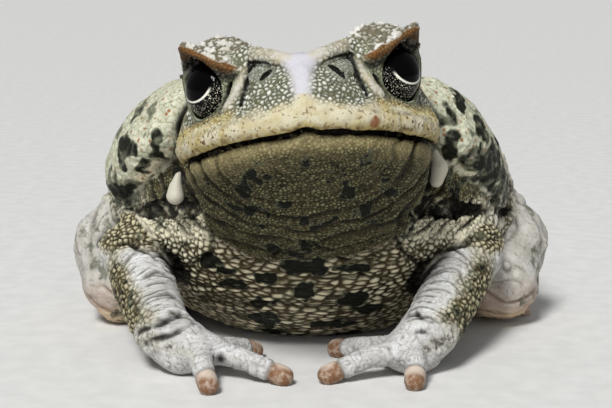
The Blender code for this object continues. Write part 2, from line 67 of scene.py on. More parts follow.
# How widely pieces of flesh run into each other
WIDE, SOFT, TIGHT = 12.0, 6.0, 2.5


# Rounded forms, each a signed distance that is worked out for many points at once


class Form:
    """A rounded form: its signed distance, a point inside it and how far it reaches from there."""

    def __init__(self, distance, centre, reach, blend):
        self.distance = distance
        self.centre = np.array(centre, float)
        self.reach = reach
        self.blend = blend


def turn(axis, degrees):
    return np.array(Matrix.Rotation(math.radians(degrees), 3, axis))


def length(v):
    return np.sqrt(np.einsum("ij,ij->i", v, v))


def in_scene(points):
    """The points in metres, from the middle of the toad's outline at floor level."""
    return (np.array(points) - np.array(ORIGIN)) * MM


def unit(v):
    return v / np.linalg.norm(v)


def fade(value, start, end):
    """0 at the start and before it, 1 at the end and past it, eased between them."""
    share = np.clip((value - start) / (end - start), 0, 1)
    return share * share * (3 - 2 * share)


def ellipsoid(centre, radii, blend, axes=None):
    """axes holds the ellipsoid's own three directions as columns."""
    centre = np.array(centre, float)
    radii = np.array(radii, float)
    axes = np.eye(3) if axes is None else axes

    def distance(p):
        q = (p - centre) @ axes
        outer = length(q / radii)
        return outer * (outer - 1) / np.maximum(length(q / radii**2), 1e-9)

    return Form(distance, centre, radii.max(), blend)


def limb(start, end, start_radius, end_radius, blend):
    start = np.array(start, float)
    along = np.array(end, float) - start
    span = along @ along

    def distance(p):
        q = p - start
        share = np.clip(q @ along / span, 0, 1)
        return length(q - share[:, None] * along) - start_radius - share * (end_radius - start_radius)

    reach = math.sqrt(span) / 2 + max(start_radius, end_radius)
    return Form(distance, start + along / 2, reach, blend)


def tube(points, radii, blend):
    """A round tube through the points, with its own radius at each."""
    pieces = [limb(a, b, ra, rb, blend) for a, b, ra, rb in zip(points, points[1:], radii, radii[1:])]

    def distance(p):
        return np.min([piece.distance(p) for piece in pieces], axis=0)

    centre = np.mean(points, axis=0)
    reach = max(np.linalg.norm(np.subtract(point, centre)) + radius for point, radius in zip(points, radii))
    return Form(distance, centre, reach, blend)


def smooth_min(a, b, blend):
    near = np.maximum(blend - np.abs(a - b), 0) / blend
    return np.minimum(a, b) - near * near * blend / 4


def smooth_max(a, b, blend):
    return -smooth_min(-a, -b, blend)


def join(p, forms, start=None):
    """The signed distance at points p of the forms run into each other in turn."""
    total = np.full(len(p), 1e3) if start is None else start.copy()
    for form in forms:
        near = length(p - form.centre) - form.reach < total + form.blend
        if near.any():
            total[near] = smooth_min(total[near], form.distance(p[near]), form.blend)
    return total


# Head, in its own frame: origin at the front of the mouth, Y back along the jaw and Z up

HEAD_AXES = turn("Y", -HEAD_ROLL) @ turn("X", -HEAD_PITCH)
HEAD_ORIGIN = np.array([0, 1.5, MOUTH_HEIGHT])
EYE = np.array([18.9, 20.3, 12.4])
EYE_GAZE = np.array([0.74, -0.66, 0.08])
LID_THICKNESS = 0.9
LID_OPENING = (7.1, 6.9)
LID_DEPTH = 2.8
TYMPANUM = (29.0, 33.0, 8.5)
TYMPANUM_RADIUS = 4.2
NOSE_BAR = [(0, 1.6, 4), (0, 2.2, 9), (0, 3.8, 13.2), (0, 9, 16.0)]
CANTHAL_RIDGE = [(1.5, 6.0, 15.4), (5.5, 7.6, 16.9), (9.5, 10.6, 18.4), (13.0, 14.8, 19.2)]
EYE_BAR = [(11.6, 11.6, 15.5), (15.6, 9.6, 7.0)]
CREST = [(12.8, 12.4, 15.8), (16.5, 11.8, 17.2), (20.5, 12.4, 19.2), (25.8, 15.4, 22.2)]
CREST += [(25.4, 21, 21.2), (23.6, 27.0, 17.5), (21.5, 30.5, 13.0)]
CREST_RADII = [1.4, 1.6, 1.7, 1.2, 1.6, 1.9, 1.9]
LOBES_BY_SIDE = {
    "right": [(31.4, 36.8, -5.2), (32.3, 36.7, -8.2), (32.5, 36.5, -10.3)],
    "left": [(29.8, 37.4, -5.2), (30.6, 38.0, -9.0), (29.6, 38.0, -11.9)],
}
LOBE_RADII = {"right": [0.7, 1.6, 2.1], "left": [0.8, 2.1, 1.6]}
NOSTRILS = {
    "right": [(8.7, 4.9, 12.7), (7.6, 4.9, 13.6), (6.5, 5.3, 14.4)],
    "left": [(6.2, 5.0, 14.4), (7.7, 4.7, 13.2), (9.1, 4.5, 11.6)],
}
NOSTRIL_RADII = (0.2, 0.45, 0.2)
NOSTRIL_DEPTH = 3.0


def to_head(p):
    return (p - HEAD_ORIGIN) @ HEAD_AXES


def from_head(p):
    return HEAD_ORIGIN + HEAD_AXES @ np.array(p, float)


def sided(side, point):
    return np.array([side * point[0], point[1], point[2]], float)


def sided_tube(side, places, radii, blend):
    """A tube on one side of the toad, through places that are given for its left side."""
    return tube([sided(side, place) for place in places], radii, blend)


def mouth_height(x):
    """The mouth line arches down to both corners, with a small notch at its middle."""
    return -0.0043 * x * x + 0.9 * np.exp(-((x / 2.0) ** 2))


def eye_frame(side):
    """Columns: across the eye's opening, up it, and out along the gaze."""
    gaze = unit(sided(side, EYE_GAZE))
    across = unit(np.cross((0, 0, 1), gaze))
    return np.column_stack([across, np.cross(gaze, across), gaze])


def jaw_curve(across, back, height, start, stop, steps):
    """Points round the U of the jaw, between two angles from straight ahead."""
    points = []
    for angle in np.linspace(math.radians(start), math.radians(stop), steps):
        x = across * math.sin(angle)
        y = back - back * math.cos(angle)
        points.append((x, y, height + mouth_height(x)))
    return points


def upper_head_forms():
    half = HEAD_WIDTH / 2
    forms = [
        ellipsoid((0, 31, 3.0), (half - 3.0, 31, 8.5), SOFT),
        ellipsoid((0, 29, 7), (17, 27.5, 10.5), SOFT),
        ellipsoid((0, 10.5, 6.5), (11, 10.5, 7.5), SOFT),
        tube(NOSE_BAR, [2.6, 2.0, 1.9, 2.2], TIGHT),
    ]
    lip = jaw_curve(half - 3.0, 30.5, 2.9, -96, 96, 25)
    forms.append(tube(lip, [2.9] * len(lip), TIGHT))
    for side in SIDES.values():
        frame_of_eye = eye_frame(side)
        eye = sided(side, EYE)
        forms.append(sided_tube(side, CANTHAL_RIDGE, [1.6, 1.8, 1.9, 1.9], TIGHT))
        forms.append(sided_tube(side, EYE_BAR, [1.7, 1.7], TIGHT))
        forms.append(ellipsoid(sided(side, (7.3, 9.0, 12.8)), (4.2, 3.8, 3.6), TIGHT))
        # The lids' ball, the warty cushion of the upper lid and the cheek behind
        forms.append(ellipsoid(eye, [EYE_RADIUS + LID_THICKNESS] * 3, TIGHT, frame_of_eye))
        forms.append(ellipsoid(sided(side, (17.5, 22, 17.6)), (7.5, 9.5, 6.8), SOFT))
        forms.append(ellipsoid(sided(side, (21.0, 34, 4)), (7.5, 9, 10), SOFT))
        forms.append(sided_tube(side, CREST, CREST_RADII, TIGHT))
    return forms


def lower_jaw_forms():
    half = HEAD_WIDTH / 2
    forms = [
        ellipsoid((0, 33, -4), (half - 3.5, 30.5, 8), SOFT),
        ellipsoid((0, 34, -11), (27.0, 27.0, 15), SOFT, turn("X", -28)),
    ]
    lip = jaw_curve(half - 4.6, 28.5, -2.6, -90, 90, 19)
    lip = [(x, y + 1.5, z) for x, y, z in lip]
    return forms + [tube(lip, [2.4] * len(lip), TIGHT)]


def lobe_forms():
    """Pale drops of gland that hang behind the corners of the mouth."""
    return [sided_tube(side, LOBES_BY_SIDE[name], LOBE_RADII[name], 1.5) for name, side in SIDES.items()]


UPPER_HEAD = upper_head_forms()
LOBES = lobe_forms()
LOWER_JAW = lower_jaw_forms()


def slit_forms():
    """The nostrils, in a frame that makes them this many times as deep as they are wide."""
    forms = []
    for name, side in SIDES.items():
        places = [sided(side, place) / (1, NOSTRIL_DEPTH, 1) for place in NOSTRILS[name]]
        forms.append(tube(places, NOSTRIL_RADII, TIGHT))
    return forms


SLITS = slit_forms()


def nostrils(p):
    return join(p / (1, NOSTRIL_DEPTH, 1), SLITS)


def head(p):
    """Signed distance of the head, in its own frame: sockets, nostrils and mouth are cut in."""
    upper = join(p, UPPER_HEAD)
    over_mouth = p[:, 2] - mouth_height(p[:, 0])
    upper = smooth_max(upper, -over_mouth, 1.0)
    lower = smooth_max(join(p, LOWER_JAW), over_mouth, 1.0)
    total = join(p, LOBES, smooth_min(upper, lower, 0.6))
    for side in SIDES.values():
        q = (p - sided(side, EYE)) @ eye_frame(side)
        opening = length(q[:, :2] / np.array(LID_OPENING)) * min(LID_OPENING) - min(LID_OPENING)
        opening = np.maximum(opening, LID_DEPTH - q[:, 2])
        total = smooth_max(total, -opening, 0.8)
    return smooth_max(total, -nostrils(p), 0.5)


# Limbs, each joint as a place on the left

SHOULDER = (24, 62, 33)
ELBOW = {"right": (44.5, 54, 23.5), "left": (42.3, 54, 23.5)}
WRIST = {"right": (34.0, 30, 9.6), "left": (29.6, 30, 9.6)}
PALM = {"right": (28.5, 27, 4.4), "left": (25.0, 27, 4.4)}
HIP = (24, 112, 26)
KNEE = (51.5, 82, 20)
HEEL = (42, 127, 9)
TARSUS = (46, 102, 4.5)

FINGER_RADII = (2.8, 2.6, 2.4)
FINGERS = {
    "right": {
        "1": [(26, 31, 4.5), (22.5, 37, 3.4), (20.0, 43, 2.0)],
        "2": [(22, 27, 5.6), (17.5, 33, 4.2), (12.8, 39, 2.0)],
        "3": [(22, 23.5, 6.2), (14, 20.5, 4.8), (5.2, 16.8, 2.0)],
        "4": [(24.5, 21.5, 6.0), (23.8, 15.5, 5.0), (21.9, 9.8, 2.0)],
    },
    "left": {
        "1": [(25, 33, 4.5), (21.0, 38.5, 3.4), (18.0, 44, 2.0)],
        "2": [(21.5, 28, 5.6), (14.5, 34, 4.2), (7.6, 41, 2.0)],
        "3": [(22, 24, 6.2), (13.5, 21, 4.8), (5.0, 18.0, 2.0)],
        "4": [(24.5, 23, 6.0), (25.2, 18, 5.0), (24.6, 13.0, 2.0)],
    },
}
TOE_TIPS = {
    "right": [(35, 86, 1.8), (38, 81, 1.8), (43, 79, 1.8), (48, 80, 1.8), (50.0, 87, 1.8)],
    "left": [(38, 86, 1.8), (41, 81, 1.8), (46, 79, 1.8), (51, 80, 1.8), (57.5, 83, 1.8)],
}
TOE_RADIUS = 2.2


def arm_forms(name):
    side = SIDES[name]
    shoulder, elbow, wrist = (sided(side, p) for p in (SHOULDER, ELBOW[name], WRIST[name]))
    forearm = elbow + (wrist - elbow) * 0.45
    forms = [limb(shoulder, elbow, 11.5, 6.8, SOFT)]
    forms.append(tube([elbow, forearm, wrist], [6.7, 7.6, 6.8], TIGHT))
    forms.append(ellipsoid(sided(side, PALM[name]), (7.0, 6.0, 4.6), TIGHT))
    for finger in FINGERS[name].values():
        knuckle = sided(side, finger[0])
        forms.append(limb(wrist, knuckle, 4.8, 3.2, TIGHT))
    for finger in FINGERS[name].values():
        forms.append(sided_tube(side, finger, FINGER_RADII, 1.2))
    return forms


def leg_forms(name):
    side = SIDES[name]
    hip, knee, heel, tarsus = (sided(side, p) + (LEAN, 0, 0) for p in (HIP, KNEE, HEEL, TARSUS))
    middle = hip + (knee - hip) * 0.45 + np.array([side * 3, 0, 2])
    calf = knee + (heel - knee) * 0.4 + np.array([side * 2.0, 0, 0])
    forms = [tube([hip, middle, knee], [17, 16, 12.5], SOFT)]
    shin = knee + np.array([side * -1.2, -6.5, -8.4])
    forms.append(tube([shin, calf, heel], [11.0, 11.8, 6.5], TIGHT))
    forms.append(limb(heel + np.array([0, 0, -3.5]), tarsus, 5.4, 4.6, TIGHT))
    sole = tarsus + np.array([0, 0, -1.5])
    for tip in TOE_TIPS[name]:
        forms.append(limb(sole, sided(side, tip) + (LEAN, 0, 0), 2.8, TOE_RADIUS, 1.5))
    return forms


def torso_forms():
    half = TORSO_WIDTH / 2
    forms = [
        ellipsoid((LEAN, 86, 33), (half, 54, 37.5), SOFT),
        ellipsoid((LEAN, 121, 25), (32, 21, 24), WIDE),
        ellipsoid((0, 56, 49), (31, 26, 19.5), SOFT),
        ellipsoid((0, 62, 31), (34, 26, 25), SOFT),
    ]
    for side in SIDES.values():
        forms.append(ellipsoid(sided(side, (26, 57, 33)), (13, 13, 12), SOFT))
    return forms


PAROTOID = (38.0, 62.0, 51.0)
PAROTOID_RADII = (24.0, 14.5, 9.0)


def parotoid_axes(side):
    """Columns: along the gland, across it and out of the body."""
    along = unit(sided(side, (0.46, 0.70, -0.55)))
    out = sided(side, (0.76, -0.06, 0.64))
    across = unit(np.cross(out, along))
    return np.column_stack([along, across, np.cross(along, across)])


def parotoid_form(side):
    return ellipsoid(sided(side, PAROTOID), PAROTOID_RADII, TIGHT, parotoid_axes(side))


TORSO = torso_forms()
ARMS = {side: arm_forms(name) for name, side in SIDES.items()}
LEGS = [form for name in SIDES for form in leg_forms(name)]
PAROTOIDS = [parotoid_form(side) for side in SIDES.values()]


def smooth_body(p):
    """Signed distance of the whole toad before its warts."""
    total = join(p, TORSO)
    total = join(p, LEGS, total)
    total = join(p, PAROTOIDS, total)
    total = smooth_min(total, head(to_head(p)), 3.0)
    return join(p, ARMS[-1] + ARMS[1], total)


# Raised warts, at the same places as in the solids

WARTS = 60
WART_SPACING = 9.0
WART_RADII = (1.7, 2.7)
WART_SEED = 4
SUNK = 1.5


def wart_places():
    """Places on the back, flanks and haunches, at least their spacing apart, and their radii."""
    rng = np.random.default_rng(WART_SEED)
    out = rng.normal(size=(4000, 3))
    out /= length(out)[:, None]
    places = np.array([LEAN, 92, 30]) + out * 90
    for _ in range(40):
        places -= out * smooth_body(places)[:, None]
    gland = np.min([form.distance(places) for form in PAROTOIDS], axis=0)
    free = (places[:, 2] > 17) & (places[:, 1] > 52) & (gland > 3) & (head(to_head(places)) > 4)
    kept = []
    for place in places[free]:
        if all(np.linalg.norm(place - other) > WART_SPACING for other in kept):
            kept.append(place)
        if len(kept) == WARTS:
            break
    return np.array(kept), rng.uniform(*WART_RADII, len(kept))


def wart_forms():
    places, radii = wart_places()
    nudge = 0.5 * np.eye(3)
    slope = np.column_stack([smooth_body(places + n) - smooth_body(places - n) for n in nudge])
    slope /= length(slope)[:, None]
    centres = places - slope * radii[:, None] * 0.45
    return [ellipsoid(centre, [radius] * 3, 1.2) for centre, radius in zip(centres, radii)]


WARTS_ON_BODY = wart_forms()


# Folds that the skin adds: the places that each runs through, as if on the left but for the chest's

GLAND_FOLD = [(54, 74, 30.5), (47, 55, 34.0), (41.3, 51, 34.6)]
GLAND_FOLD += [(34.5, 45, 36.2), (28, 40, 37.6), (23.5, 30, 38.6)]
GLAND_FOLD_RADII = [0.4, 0.8, 1.4, 2.4, 2.8, 1.3]
FOLD_BEHIND_ELBOW = [(38.5, 47.9, 34.0), (48.4, 67.2, 29.6), (53.5, 71.0, 25.2), (55.4, 70.8, 21.7)]
FOLDS_BY_SIDE = {
    "right": {
        "elbow": [(48.5, 49.5, 26.6), (42.0, 45.0, 26.8), (36.9, 42.5, 24.3), (33.5, 42, 20.5)],
        "beside the throat": [(23.0, 29, 38), (22.6, 37.4, 30.9), (23.5, 39, 26), (28.4, 43.2, 22.4)],
        "wrist": [(37.6, 24.8, 7.0), (32.7, 22.6, 10.0), (29.2, 22.7, 11.1), (25.8, 26.3, 11.9)],
        "above the wrist": [(39.6, 26.0, 9.3), (36.3, 23.7, 11.3), (32.8, 24.0, 13.0), (29.5, 26.2, 13.8)],
    },
    "left": {
        "elbow": [(49.5, 53, 26.6), (41.7, 46.4, 28.0), (35.3, 44.0, 27.0), (31.5, 42.7, 24.0)],
        "beside the throat": [(21.7, 26, 38.4), (22.0, 35.6, 30.8), (24.5, 39, 25.5), (29.0, 42.5, 22.6)],
        "wrist": [(21.0, 25.5, 12.6), (26.5, 22.6, 11.3), (31.6, 23.4, 7.4)],
        "above the wrist": [(25.0, 26.6, 14.6), (30.0, 24.2, 13.2), (34.6, 25.4, 9.8)],
    },
}
CHEST_FOLDS = [
    [(-17, 36, 25), (-10.4, 33.1, 26.0), (-3.7, 26.8, 29.5), (-0.5, 23.6, 32.5)],
    [(0.9, 23.6, 31.8), (4.4, 27.3, 29.4), (9.3, 33.3, 25.3), (13.4, 35.8, 21.6)],
]
THIN_RADIUS = 0.1
FOLD_BLEND = 0.5
# In the frame of the head, each with its own radii
HEAD_FOLDS = [
    ([(4.6, 4.6, 14.9), (8.2, 7.0, 16.1), (11.0, 9.8, 16.6)], [0.2, 0.3, 0.3]),
    ([(10.4, 9.8, 15.6), (12.0, 8.0, 11.5), (13.4, 7.0, 7.4)], [0.5, 0.4, 0.2]),
    ([(14.2, 12.0, 15.4), (15.4, 11.2, 11.5), (17.0, 9.9, 7.6)], [0.4, 0.4, 0.3]),
]


def gland_folds():
    return [sided_tube(side, GLAND_FOLD, GLAND_FOLD_RADII, FOLD_BLEND) for side in SIDES.values()]


def thin_folds():
    """Lines over the elbows and wrists, beside the throat and on the chest."""
    lines = list(CHEST_FOLDS)
    for name, side in SIDES.items():
        for places in [*FOLDS_BY_SIDE[name].values(), FOLD_BEHIND_ELBOW]:
            lines.append([sided(side, place) for place in places])
    return [tube(places, [THIN_RADIUS] * len(places), FOLD_BLEND) for places in lines]


def ridge_folds():
    forms = []
    for side in SIDES.values():
        for places, radii in HEAD_FOLDS:
            forms.append(tube([from_head(sided(side, place)) for place in places], radii, FOLD_BLEND))
    return forms


GLAND_FOLDS = gland_folds()
THIN_FOLDS = thin_folds()
RIDGE_FOLDS = ridge_folds()


def body(p):
    """Signed distance of the whole toad with its folds, cut off flat just under the floor."""
    total = join(p, WARTS_ON_BODY, smooth_body(p))
    total = smooth_max(total, -join(p, GLAND_FOLDS + RIDGE_FOLDS), 1.0)
    return np.maximum(total, -p[:, 2] - SUNK)


# Meshing: a closed surface of four-sided faces where the distance is nought

BLOCK = 4
CORNERS = np.array([(i, j, k) for i in (0, 1) for j in (0, 1) for k in (0, 1)])


def one_patch(members):
    """Whether these corners of a cell are joined along its edges."""
    if not members:
        return True
    found, todo = {members[0]}, [members[0]]
    while todo:
        at = todo.pop()
        for other in members:
            if other not in found and np.abs(CORNERS[at] - CORNERS[other]).sum() == 1:
                found.add(other)
                todo.append(other)
    return len(found) == len(members)


def sheet_table():
    """For each of the 256 patterns of a cell's corners, whether one sheet of surface crosses it."""
    table = np.zeros(256, bool)
    for pattern in range(256):
        inside = [n for n in range(8) if pattern >> n & 1]
        outside = [n for n in range(8) if not pattern >> n & 1]
        table[pattern] = one_patch(inside) and one_patch(outside)
    return table


def sample(field, low, high, step):
    """The field on a grid, worked out in full only in blocks that the surface may cross."""
    blocks = np.ceil((np.array(high) - low) / (step * BLOCK)).astype(int)
    at = np.stack(np.meshgrid(*[np.arange(n) for n in blocks], indexing="ij"), -1).reshape(-1, 3)
    centres = low + (at + 0.5 - 0.5 / BLOCK) * BLOCK * step
    rough = field(centres)
    values = np.repeat(np.repeat(np.repeat(rough.reshape(blocks), BLOCK, 0), BLOCK, 1), BLOCK, 2)
    near = at[np.abs(rough) < 1.5 * BLOCK * step]
    inner = np.stack(np.meshgrid(*[np.arange(BLOCK)] * 3, indexing="ij"), -1).reshape(-1, 3)
    index = (near[:, None] * BLOCK + inner[None]).reshape(-1, 3)
    values[tuple(index.T)] = field(low + index * step)
    return values


def fill_double_cells(values, step):
    """Fills the few cells that two sheets of surface would share, so that the mesh stays closed."""
    single = sheet_table()
    shape = np.array(values.shape) - 1
    while True:
        inside = values < 0
        pattern = np.zeros(shape, np.uint8)
        for n, (i, j, k) in enumerate(CORNERS):
            part = inside[i : i + shape[0], j : j + shape[1], k : k + shape[2]]
            pattern |= part.astype(np.uint8) << n
        double = np.argwhere(~single[pattern])
        if not len(double):
            return values
        for corner in CORNERS:
            at = tuple((double + corner).T)
            values[at] = np.minimum(values[at], -0.02 * step)


def surface(values, low, step):
    """Points and four-sided faces of the surface where the values change sign."""
    inside = values < 0
    shape = np.array(values.shape)
    cells, crossings, turned = [], [], []
    for axis in range(3):
        b, c = (axis + 1) % 3, (axis + 2) % 3
        step_on = np.eye(3, dtype=int)[axis]
        first = tuple(slice(0, n - s) for n, s in zip(shape, step_on))
        after = tuple(slice(s, n) for n, s in zip(shape, step_on))
        at = np.argwhere(inside[first] != inside[after])
        v0, v1 = values[tuple(at.T)], values[tuple((at + step_on).T)]
        crossings.append(at + (v0 / (v0 - v1))[:, None] * step_on)
        around = np.zeros((4, 3), int)
        around[1, b] = around[2, b] = around[2, c] = around[3, c] = -1
        cells.append(at[:, None] + around[None])
        turned.append(v0 > 0)
    cells, crossings, turned = (np.concatenate(x) for x in (cells, crossings, turned))
    keys = np.ravel_multi_index(tuple(cells.reshape(-1, 3).T), tuple(shape))
    _, corner = np.unique(keys, return_inverse=True)
    corner = corner.reshape(-1)
    spread = np.repeat(crossings, 4, axis=0)
    count = np.bincount(corner)
    points = np.column_stack([np.bincount(corner, spread[:, n]) / count for n in range(3)])
    faces = corner.reshape(-1, 4)
    faces[turned] = faces[turned][:, ::-1]
    return low + points * step, faces


def refine(points, faces, chosen):
    """Splits the chosen faces in four. Their neighbours gain the new points on the shared edges.

    Returns the points, the four-sided faces and the faces that have more sides.
    """
    ends = np.stack([faces, np.roll(faces, -1, axis=1)], -1)
    keys, edge = np.unique(np.sort(ends.reshape(-1, 2), axis=1), axis=0, return_inverse=True)
    edge = edge.reshape(-1, 4)
    split = np.zeros(len(keys), bool)
    split[edge[chosen]] = True
    middle = np.full(len(keys), -1)
    middle[split] = len(points) + np.arange(split.sum())
    centre = len(points) + split.sum() + np.arange(chosen.sum())
    halves = points[keys[split]].mean(axis=1)
    points = np.concatenate([points, halves, points[faces[chosen]].mean(axis=1)])
    around = middle[edge[chosen]]
    quarters = []
    for n in range(4):
        quarters.append(np.column_stack([faces[chosen][:, n], around[:, n], centre, around[:, n - 1]]))
    beside = ~chosen & split[edge].any(axis=1)
    longer = []
    for face, edges in zip(faces[beside], edge[beside]):
        corners = zip(face, middle[edges])
        longer.append([int(v) for pair in corners for v in pair if v >= 0])
    return points, np.concatenate([faces[~chosen & ~beside]] + quarters), longer


def normals_of(points, faces):
    """The mean direction of the faces round each point."""
    a, b = points[faces[:, 2]] - points[faces[:, 0]], points[faces[:, 3]] - points[faces[:, 1]]
    across = np.cross(a, b)
    total = np.column_stack(
        [np.bincount(faces.ravel(), np.repeat(across[:, n], 4), len(points)) for n in range(3)]
    )
    return total / np.maximum(length(total), 1e-9)[:, None]


# Patterns that skin is made of


def cloud(p, size, seed):
    """Soft noise from -1 to 1 whose patches are about this size."""
    lattice = np.random.default_rng(seed).uniform(-1, 1, (32, 32, 32))
    q = p / size
    base = np.floor(q).astype(int)
    part = q - base
    part = part * part * (3 - 2 * part)
    total = np.zeros(len(p))
    for corner in CORNERS:
        weight = np.prod(np.where(corner, part, 1 - part), axis=1)
        total += weight * lattice[tuple(((base + corner) % 32).T)]
    return total


def wandering(p, size, reach, seed):
    """The points moved a little by soft noise, so that what is measured from them wanders."""
    return p + reach * np.column_stack([cloud(p, size, seed + n) for n in range(3)])


def grains(p, spacing, seed):
    """Close-set grains scattered over these points, one to each cell of a grid.

    For each point: how far it is from its own grain and from the gap to the next, both in
    spacings, and a number from 0 to 1 that its grain drew.
    """
    rng = np.random.default_rng(seed)
    cell = np.floor(p / spacing).astype(int)
    cell -= cell.min(axis=0) - 1
    shape = cell.max(axis=0) + 2
    key = np.ravel_multi_index(tuple(cell.T), tuple(shape))
    seat = np.full(shape.prod(), -1)
    order = rng.permutation(len(p))
    seat[key[order]] = order
    nearest, second = np.full(len(p), 9.0), np.full(len(p), 9.0)
    owner = np.zeros(len(p), int)
    strides = np.array([shape[1] * shape[2], shape[2], 1])
    for step in np.stack(np.meshgrid(*[(-1, 0, 1)] * 3), -1).reshape(-1, 3):
        other = seat[key + step @ strides]
        away = np.where(other >= 0, length(p - p[other]) / spacing, 9.0)
        closer = away < nearest
        second = np.where(closer, nearest, np.minimum(second, away))
        owner = np.where(closer, other, owner)
        nearest = np.minimum(nearest, away)
    return nearest, second - nearest, rng.random(len(p))[owner]


def nearer(a, b, width):
    """1 where a is the nearer of two forms, 0 where b is, with a soft border."""
    return fade(b - a, -width / 2, width / 2)


def blob(p, centre, radii, ragged, seed):
    """A patch round a place, with a soft and ragged edge."""
    away = length((p - np.array(centre, float)) / np.array(radii, float))
    away += ragged * cloud(p, 3.0, seed) + 0.5 * ragged * cloud(p, 1.3, seed + 1)
    return fade(away, 1.4, 0.85)


# The skin: what kind covers each place, how it is raised, and where it is dark, by its own blotches or by
# painted shade

# Dark patches on the glands and belly, each a place and its radii
GLAND_PATCHES = [
    ((-44.6, 50.1, 49.9), (4.0, 6.0, 3.6)),
    ((-48.2, 60.4, 37.5), (6.0, 9.0, 5.0)),
    ((-39.5, 47.8, 45.7), (1.9, 4.0, 1.9)),
    ((-36.5, 45.0, 52.0), (2.0, 4.0, 4.6)),
    ((46.5, 53.0, 46.0), (5.6, 8.0, 7.4)),
    ((42.6, 49.5, 55.5), (1.9, 5.0, 3.2)),
    ((51.3, 64.8, 37.6), (6.0, 8.0, 5.0)),
    ((37.7, 50.3, 62.2), (1.6, 6.0, 2.4)),
    ((35.0, 44.0, 52.0), (1.4, 4.0, 7.0)),
]
LIP_SPOT = (14.8, 1.6, 1.2)
BELLY_PATCHES = [
    ((-19.6, 38.7, 21.6), (3.0, 6.0, 1.3)),
    ((-18.0, 40.0, 18.1), (2.6, 6.0, 1.4)),
    ((-8.6, 35.7, 20.3), (2.5, 6.0, 1.9)),
    ((-0.2, 33.2, 23.8), (4.5, 6.0, 2.3)),
    ((-0.7, 36.6, 17.2), (3.3, 6.0, 2.4)),
    ((-10.7, 41.0, 13.4), (3.2, 6.0, 1.2)),
    ((10.7, 39.5, 14.5), (3.5, 6.0, 2.0)),
    ((-10.2, 47.6, 7.5), (3.0, 6.0, 3.0)),
    ((6.0, 48.2, 6.1), (6.0, 6.0, 1.5)),
    ((10.5, 34.3, 23.6), (4.0, 6.0, 1.1)),
    ((15.8, 44.6, 10.8), (3.0, 6.0, 1.4)),
    ((-23.7, 39.9, 23.9), (2.5, 6.0, 1.5)),
    ((-3.0, 32.0, 27.5), (3.0, 5.0, 1.2)),
    ((-7.0, 27.5, 30.0), (2.8, 5.0, 1.6)),
]


class Skin:
    """Points of the skin: where they are, how far each is lifted and the marks its colours follow."""

    def __init__(self, points, normals):
        self.points = points
        self.normals = normals
        self.local = to_head(points)
        self.mirrored = np.column_stack([np.abs(self.local[:, 0]), self.local[:, 1:]])
        self.from_eye = length(self.mirrored - EYE)
        self.from_tip = np.min([length(points - tip) for tip in finger_tips()], axis=0)
        self.over_mouth = self.local[:, 2] - mouth_height(self.local[:, 0])
        self.lift = np.zeros(len(points))
        self.marks = {name: np.zeros(len(points)) for name in ("raised", "tone", "line", "crevice_shade")}

    def grainy(self, cover, spacing, height, seed, stretch=(1, 1, 1), rim=0.7, uneven=0.5, places=None):
        """Close-set rounded grains, where the cover is over nought."""
        places = self.points if places is None else places
        chosen = cover > 0.02
        _, gap, draw = grains(places[chosen] / np.array(stretch), spacing, seed)
        dome = 1 - (1 - np.clip(gap / rim, 0, 1)) ** 2
        size = 1 - uneven + uneven * draw
        self.lift[chosen] += cover[chosen] * height * (dome * size - 0.35)
        self.marks["raised"][chosen] += cover[chosen] * dome
        self.marks["tone"][chosen] += cover[chosen] * draw

    def even(self, cover, share=0.8):
        """Skin without grains, in this share of its raised colour."""
        self.marks["raised"] += cover * share

    def studded(self, cover, spacing, radius, height, seed, share=1.0):
        """Round studs that stand apart. The radius is in spacings."""
        chosen = cover > 0.02
        away, _, draw = grains(self.points[chosen], spacing, seed)
        size = radius * (0.6 + 0.4 * np.sqrt(draw)) * (draw <= share)
        dome = np.clip(1 - (away / np.maximum(size, 1e-6)) ** 2, 0, 1)
        self.lift[chosen] += cover[chosen] * height * dome
        raised = self.marks["raised"]
        raised[chosen] = np.maximum(raised[chosen], cover[chosen] * fade(dome, 0, 0.5))

    def creased(self, cover, phase, width, depth, dark=0.5, mark="line"):
        """Narrow creases, one wherever the phase is a whole number, with painted shade in them written to
        this mark.
        """
        off = np.abs(phase - np.round(phase))
        line = cover * fade(off, width, 0)
        self.lift -= depth * line
        self.marks[mark] = np.maximum(self.marks[mark], dark * line)

    def rolling(self, cover, size, height, seed):
        """Broad soft lumps."""
        self.lift += cover * height * cloud(self.points, size, seed)


def along_arm(p, name):
    """How far each point lies down the forearm from the elbow, and its share of the way."""
    elbow, wrist = (sided(SIDES[name], place) for place in (ELBOW[name], WRIST[name]))
    reach = np.linalg.norm(wrist - elbow)
    down = (p - elbow) @ ((wrist - elbow) / reach)
    return down, down / reach


def finger_tips():
    return [sided(side, points[2]) for name, side in SIDES.items() for points in FINGERS[name].values()]


def crest_distance(mirrored):
    """How far each point of the head is from the shelf over its eye."""
    return tube(CREST[:5], CREST_RADII[:5], 1).distance(mirrored)


def crest_height(across):
    return np.interp(across, [place[0] for place in CREST[:4]], [place[2] for place in CREST[:4]])


